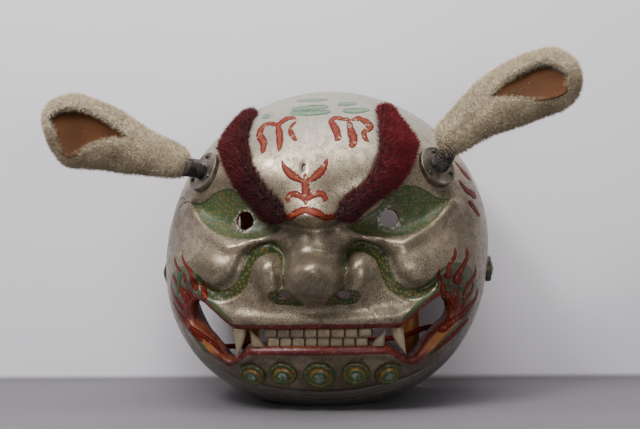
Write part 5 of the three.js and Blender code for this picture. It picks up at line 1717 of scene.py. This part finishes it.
class LIONHEAD_OT_springs(bpy.types.Operator):
    """Coil springs that carry the ears, their round plates and the nails that hold them"""

    bl_idname = "lionhead.springs"
    bl_label = "Springs and plates"

    def execute(self, context):
        steel = steel_material("plate_steel_worn", (0.13, 0.1, 0.075), (0.28, 0.235, 0.185))
        dark = steel_material("spring_steel", (0.035, 0.03, 0.028), (0.12, 0.11, 0.1))
        for name in EARS:
            self.plate(name, steel)
            for i in range(NAILS_PER_PLATE):
                self.nail(name, i, dark)
            self.spring(name, dark)
        return {"FINISHED"}

    def plate(self, name, steel):
        """A shallow disc with a pressed ring, turned about the plate's own line."""
        seat = ear_seat(name)
        points, faces = turned(PLATE_PROFILE[:, 0], PLATE_PROFILE[:, 1:], seat["face"], seat["out"], 64)
        obj = mesh_piece(f"ear_disc_{name}", points, faces, [steel])
        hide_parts(f"ear_plate_{name}")
        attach(obj, "head")

    def nail(self, name, i, dark):
        """A domed head, turned, at its place round the plate."""
        seat = ear_seat(name)
        turn = Vector((0, 1, 0)).rotation_difference(Vector(seat["out"]))
        angle = i * 2 * math.pi / NAILS_PER_PLATE + 0.5
        spot = turn @ Vector((NAIL_CIRCLE * math.cos(angle), 0, NAIL_CIRCLE * math.sin(angle)))
        points, faces = turned(
            NAIL_PROFILE[:, 0], NAIL_PROFILE[:, 1:], np.array(spot) + seat["face"], seat["out"], 18)
        obj = mesh_piece(f"nail_{name}_{i + 1}", points, faces, [dark])
        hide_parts(f"plate_nail_{name}_{i + 1}")
        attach(obj, "head")

    def spring(self, name, dark):
        """A wire wound round a bent middle line: the line is a cubic curve from the plate to the
        ear's root, and the wire's section turns round the coil."""
        seat = ear_seat(name)
        out, axis = seat["out"], seat["axis"]
        start = seat["face"] + out * 1.5
        stop = seat["root"] + axis * SPRING_REACH[name][0] - seat["up"] * SPRING_REACH[name][1]
        reach = np.linalg.norm(stop - start) / 3
        a, b, c, d = start, start + out * reach * 0.6, stop - axis * reach * 0.4, stop
        t = np.linspace(0, 1, SPRING_TURNS * 30 + 1)[:, None]
        line = a * (1 - t)**3 + 3 * b * t * (1 - t)**2 + 3 * c * t**2 * (1 - t) + d * t**3
        ahead = unit(np.gradient(line, axis=0))
        across = unit(np.cross(unit(np.cross(out, axis)), ahead))
        third = np.cross(ahead, across)
        angle = 2 * math.pi * SPRING_TURNS * t
        coil = line + SPRING_RADIUS * (across * np.cos(angle) + third * np.sin(angle))
        along = unit(np.gradient(coil, axis=0))
        outward = unit(coil - line)
        points, faces = capped_tube(swept(coil, outward, np.cross(along, outward), circle(WIRE_RADIUS, 10)))
        obj = mesh_piece(f"coil_{name}", points, faces, [dark])
        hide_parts(f"ear_spring_{name}")
        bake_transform(obj)


class LIONHEAD_OT_grip(bpy.types.Operator):
    """Wooden posts inside the head and the red bar in front of them"""

    bl_idname = "lionhead.grip"
    bl_label = "Posts and bar"

    def execute(self, context):
        wood = wood_material()
        for name, side in SIDES.items():
            self.post(name, side, wood)
        self.bar()
        return {"FINISHED"}

    def bar(self):
        """A round section carried along a bent line, inside the part's own bar at its ends."""
        low, high = (np.array(v) * 1000 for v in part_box("grip_bar"))
        line = spline(BAR_LINE, 120)
        x, z = to_x(line[:, 0]), to_z(line[:, 1])
        keep = (x > low[0] + 1) & (x < high[0] - 1)
        points = np.stack([x, np.full_like(x, (low[1] + high[1]) / 2), z], -1)[keep]
        ahead = unit(np.gradient(points, axis=0))
        across = np.broadcast_to([0.0, 1.0, 0.0], ahead.shape)
        points, faces = capped_tube(swept(points, across, np.cross(ahead, across), circle(BAR_RADIUS, 20)))
        obj = mesh_piece("red_bar_round", points, faces, [bar_material()])
        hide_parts("grip_bar")
        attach(obj, "head")

    def post(self, name, side, wood):
        """A round post whose ends follow the inside of the band."""
        pairs = circle(POST_RADIUS, 48)
        x, y = side * POST_SPREAD + pairs[:, 0], POST_Y + pairs[:, 1]
        angle = np.linspace(0.15, math.pi - 0.15, 200)
        ends = []
        for sign in (-1, 1):
            band = band_point(y[:, None] / BAND_DEPTH, sign * angle[None, :], -WALL - 0.5)
            order = np.argsort(band[0, :, 0])
            ends.append(np.array([np.interp(a, b[order, 0], b[order, 2]) for a, b in zip(x, band)]))
        z = ends[0] + (ends[1] - ends[0]) * np.linspace(0, 1, 24)[:, None]
        sections = np.stack([np.broadcast_to(x, z.shape), np.broadcast_to(y, z.shape), z], -1)
        obj = mesh_piece(f"post_round_{name}", *capped_tube(sections), [wood])
        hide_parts(f"grip_post_{name}")
        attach(obj, "head")


class LIONHEAD_OT_stage(bpy.types.Operator):
    """Camera, lights, pale floor and wall"""

    bl_idname = "lionhead.stage"
    bl_label = "Stage"

    def execute(self, context):
        self.camera()
        self.floor()
        for name, place, target, size, power in LIGHTS:
            self.light(name, place, target, size, power)
        world = bpy.data.worlds.new("studio")
        world.use_nodes = True
        world.node_tree.nodes["Background"].inputs[0].default_value = (*WORLD_COLOR, 1)
        world.node_tree.nodes["Background"].inputs[1].default_value = WORLD_STRENGTH
        context.scene.world = world
        return {"FINISHED"}

    def camera(self):
        """Level camera at the photograph's place, turned about the head and rolled a little."""
        turn = math.radians(CAMERA_TURN)
        right = Vector((math.cos(turn), math.sin(turn), 0))
        place = Vector((math.sin(turn), -math.cos(turn), 0)) * CAMERA_DISTANCE - right * CAMERA_SHIFT
        place.z = CAMERA_HEIGHT
        data = bpy.data.cameras.new("camera")
        data.sensor_fit = "HORIZONTAL"
        data.angle = 2 * math.atan(PHOTO_HALF_WIDTH / PHOTO_FOCAL_LENGTH)
        camera = bpy.data.objects.new("camera", data)
        bpy.context.scene.collection.objects.link(camera)
        roll = Matrix.Rotation(math.radians(CAMERA_ROLL), 4, "Z")
        stand = Matrix.Rotation(turn, 4, "Z") @ Matrix.Rotation(math.radians(90), 4, "X")
        camera.matrix_world = Matrix.Translation(place) @ stand @ roll
        bpy.context.scene.camera = camera

    def light(self, name, place, target, size, power):
        data = bpy.data.lights.new(name, "AREA")
        data.size = size
        data.energy = power
        lamp = bpy.data.objects.new(name, data)
        bpy.context.scene.collection.objects.link(lamp)
        lamp.location = place
        lamp.rotation_euler = (Vector(target) - Vector(place)).to_track_quat("-Z", "Y").to_euler()

    def floor(self):
        """Floor with a wall behind it, joined by a small quarter round."""
        t = np.linspace(0, math.pi / 2, 5)
        bend = [WALL_PLACE, 0] + WALL_BEND * np.stack([np.sin(t) - 1, 1 - np.cos(t)], -1)
        profile = np.vstack([[(-FLOOR_FRONT, 0)], bend, [(WALL_PLACE, WALL_TOP)]])
        across = np.repeat([-FLOOR_SIDE, FLOOR_SIDE], len(profile))
        points = np.column_stack([across, np.tile(profile, (2, 1))])
        faces = grid_faces(2, len(profile), closed=False)[:, ::-1]
        floor = mesh_piece("floor", points, faces, [paper_material()], flat=True)


OPERATORS = (
    LIONHEAD_OT_stage, LIONHEAD_OT_shell, LIONHEAD_OT_brushwork, LIONHEAD_OT_teeth, LIONHEAD_OT_bosses,
    LIONHEAD_OT_brows, LIONHEAD_OT_ears, LIONHEAD_OT_springs, LIONHEAD_OT_grip,
)


class LIONHEAD_PT_panel(bpy.types.Panel):
    """Lists the operators and the settings"""

    bl_idname = "LIONHEAD_PT_panel"
    bl_label = "Lion dance head"
    bl_space_type = "VIEW_3D"
    bl_region_type = "UI"
    bl_category = "Lion head"

    def draw(self, context):
        for name in HeadLook.__annotations__:
            self.layout.prop(context.scene.head_look, name)
        for operator in OPERATORS:
            self.layout.operator(operator.bl_idname)


CLASSES = (HeadLook, *OPERATORS, LIONHEAD_PT_panel)


def register():
    for item in CLASSES:
        bpy.utils.register_class(item)
    bpy.types.Scene.head_look = PointerProperty(type=HeadLook)


def unregister():
    del bpy.types.Scene.head_look
    for item in reversed(CLASSES):
        bpy.utils.unregister_class(item)


def main():
    register()
    for operator in OPERATORS:
        getattr(bpy.ops.lionhead, operator.bl_idname.split(".")[1])()


if __name__ == "__main__":
    main()
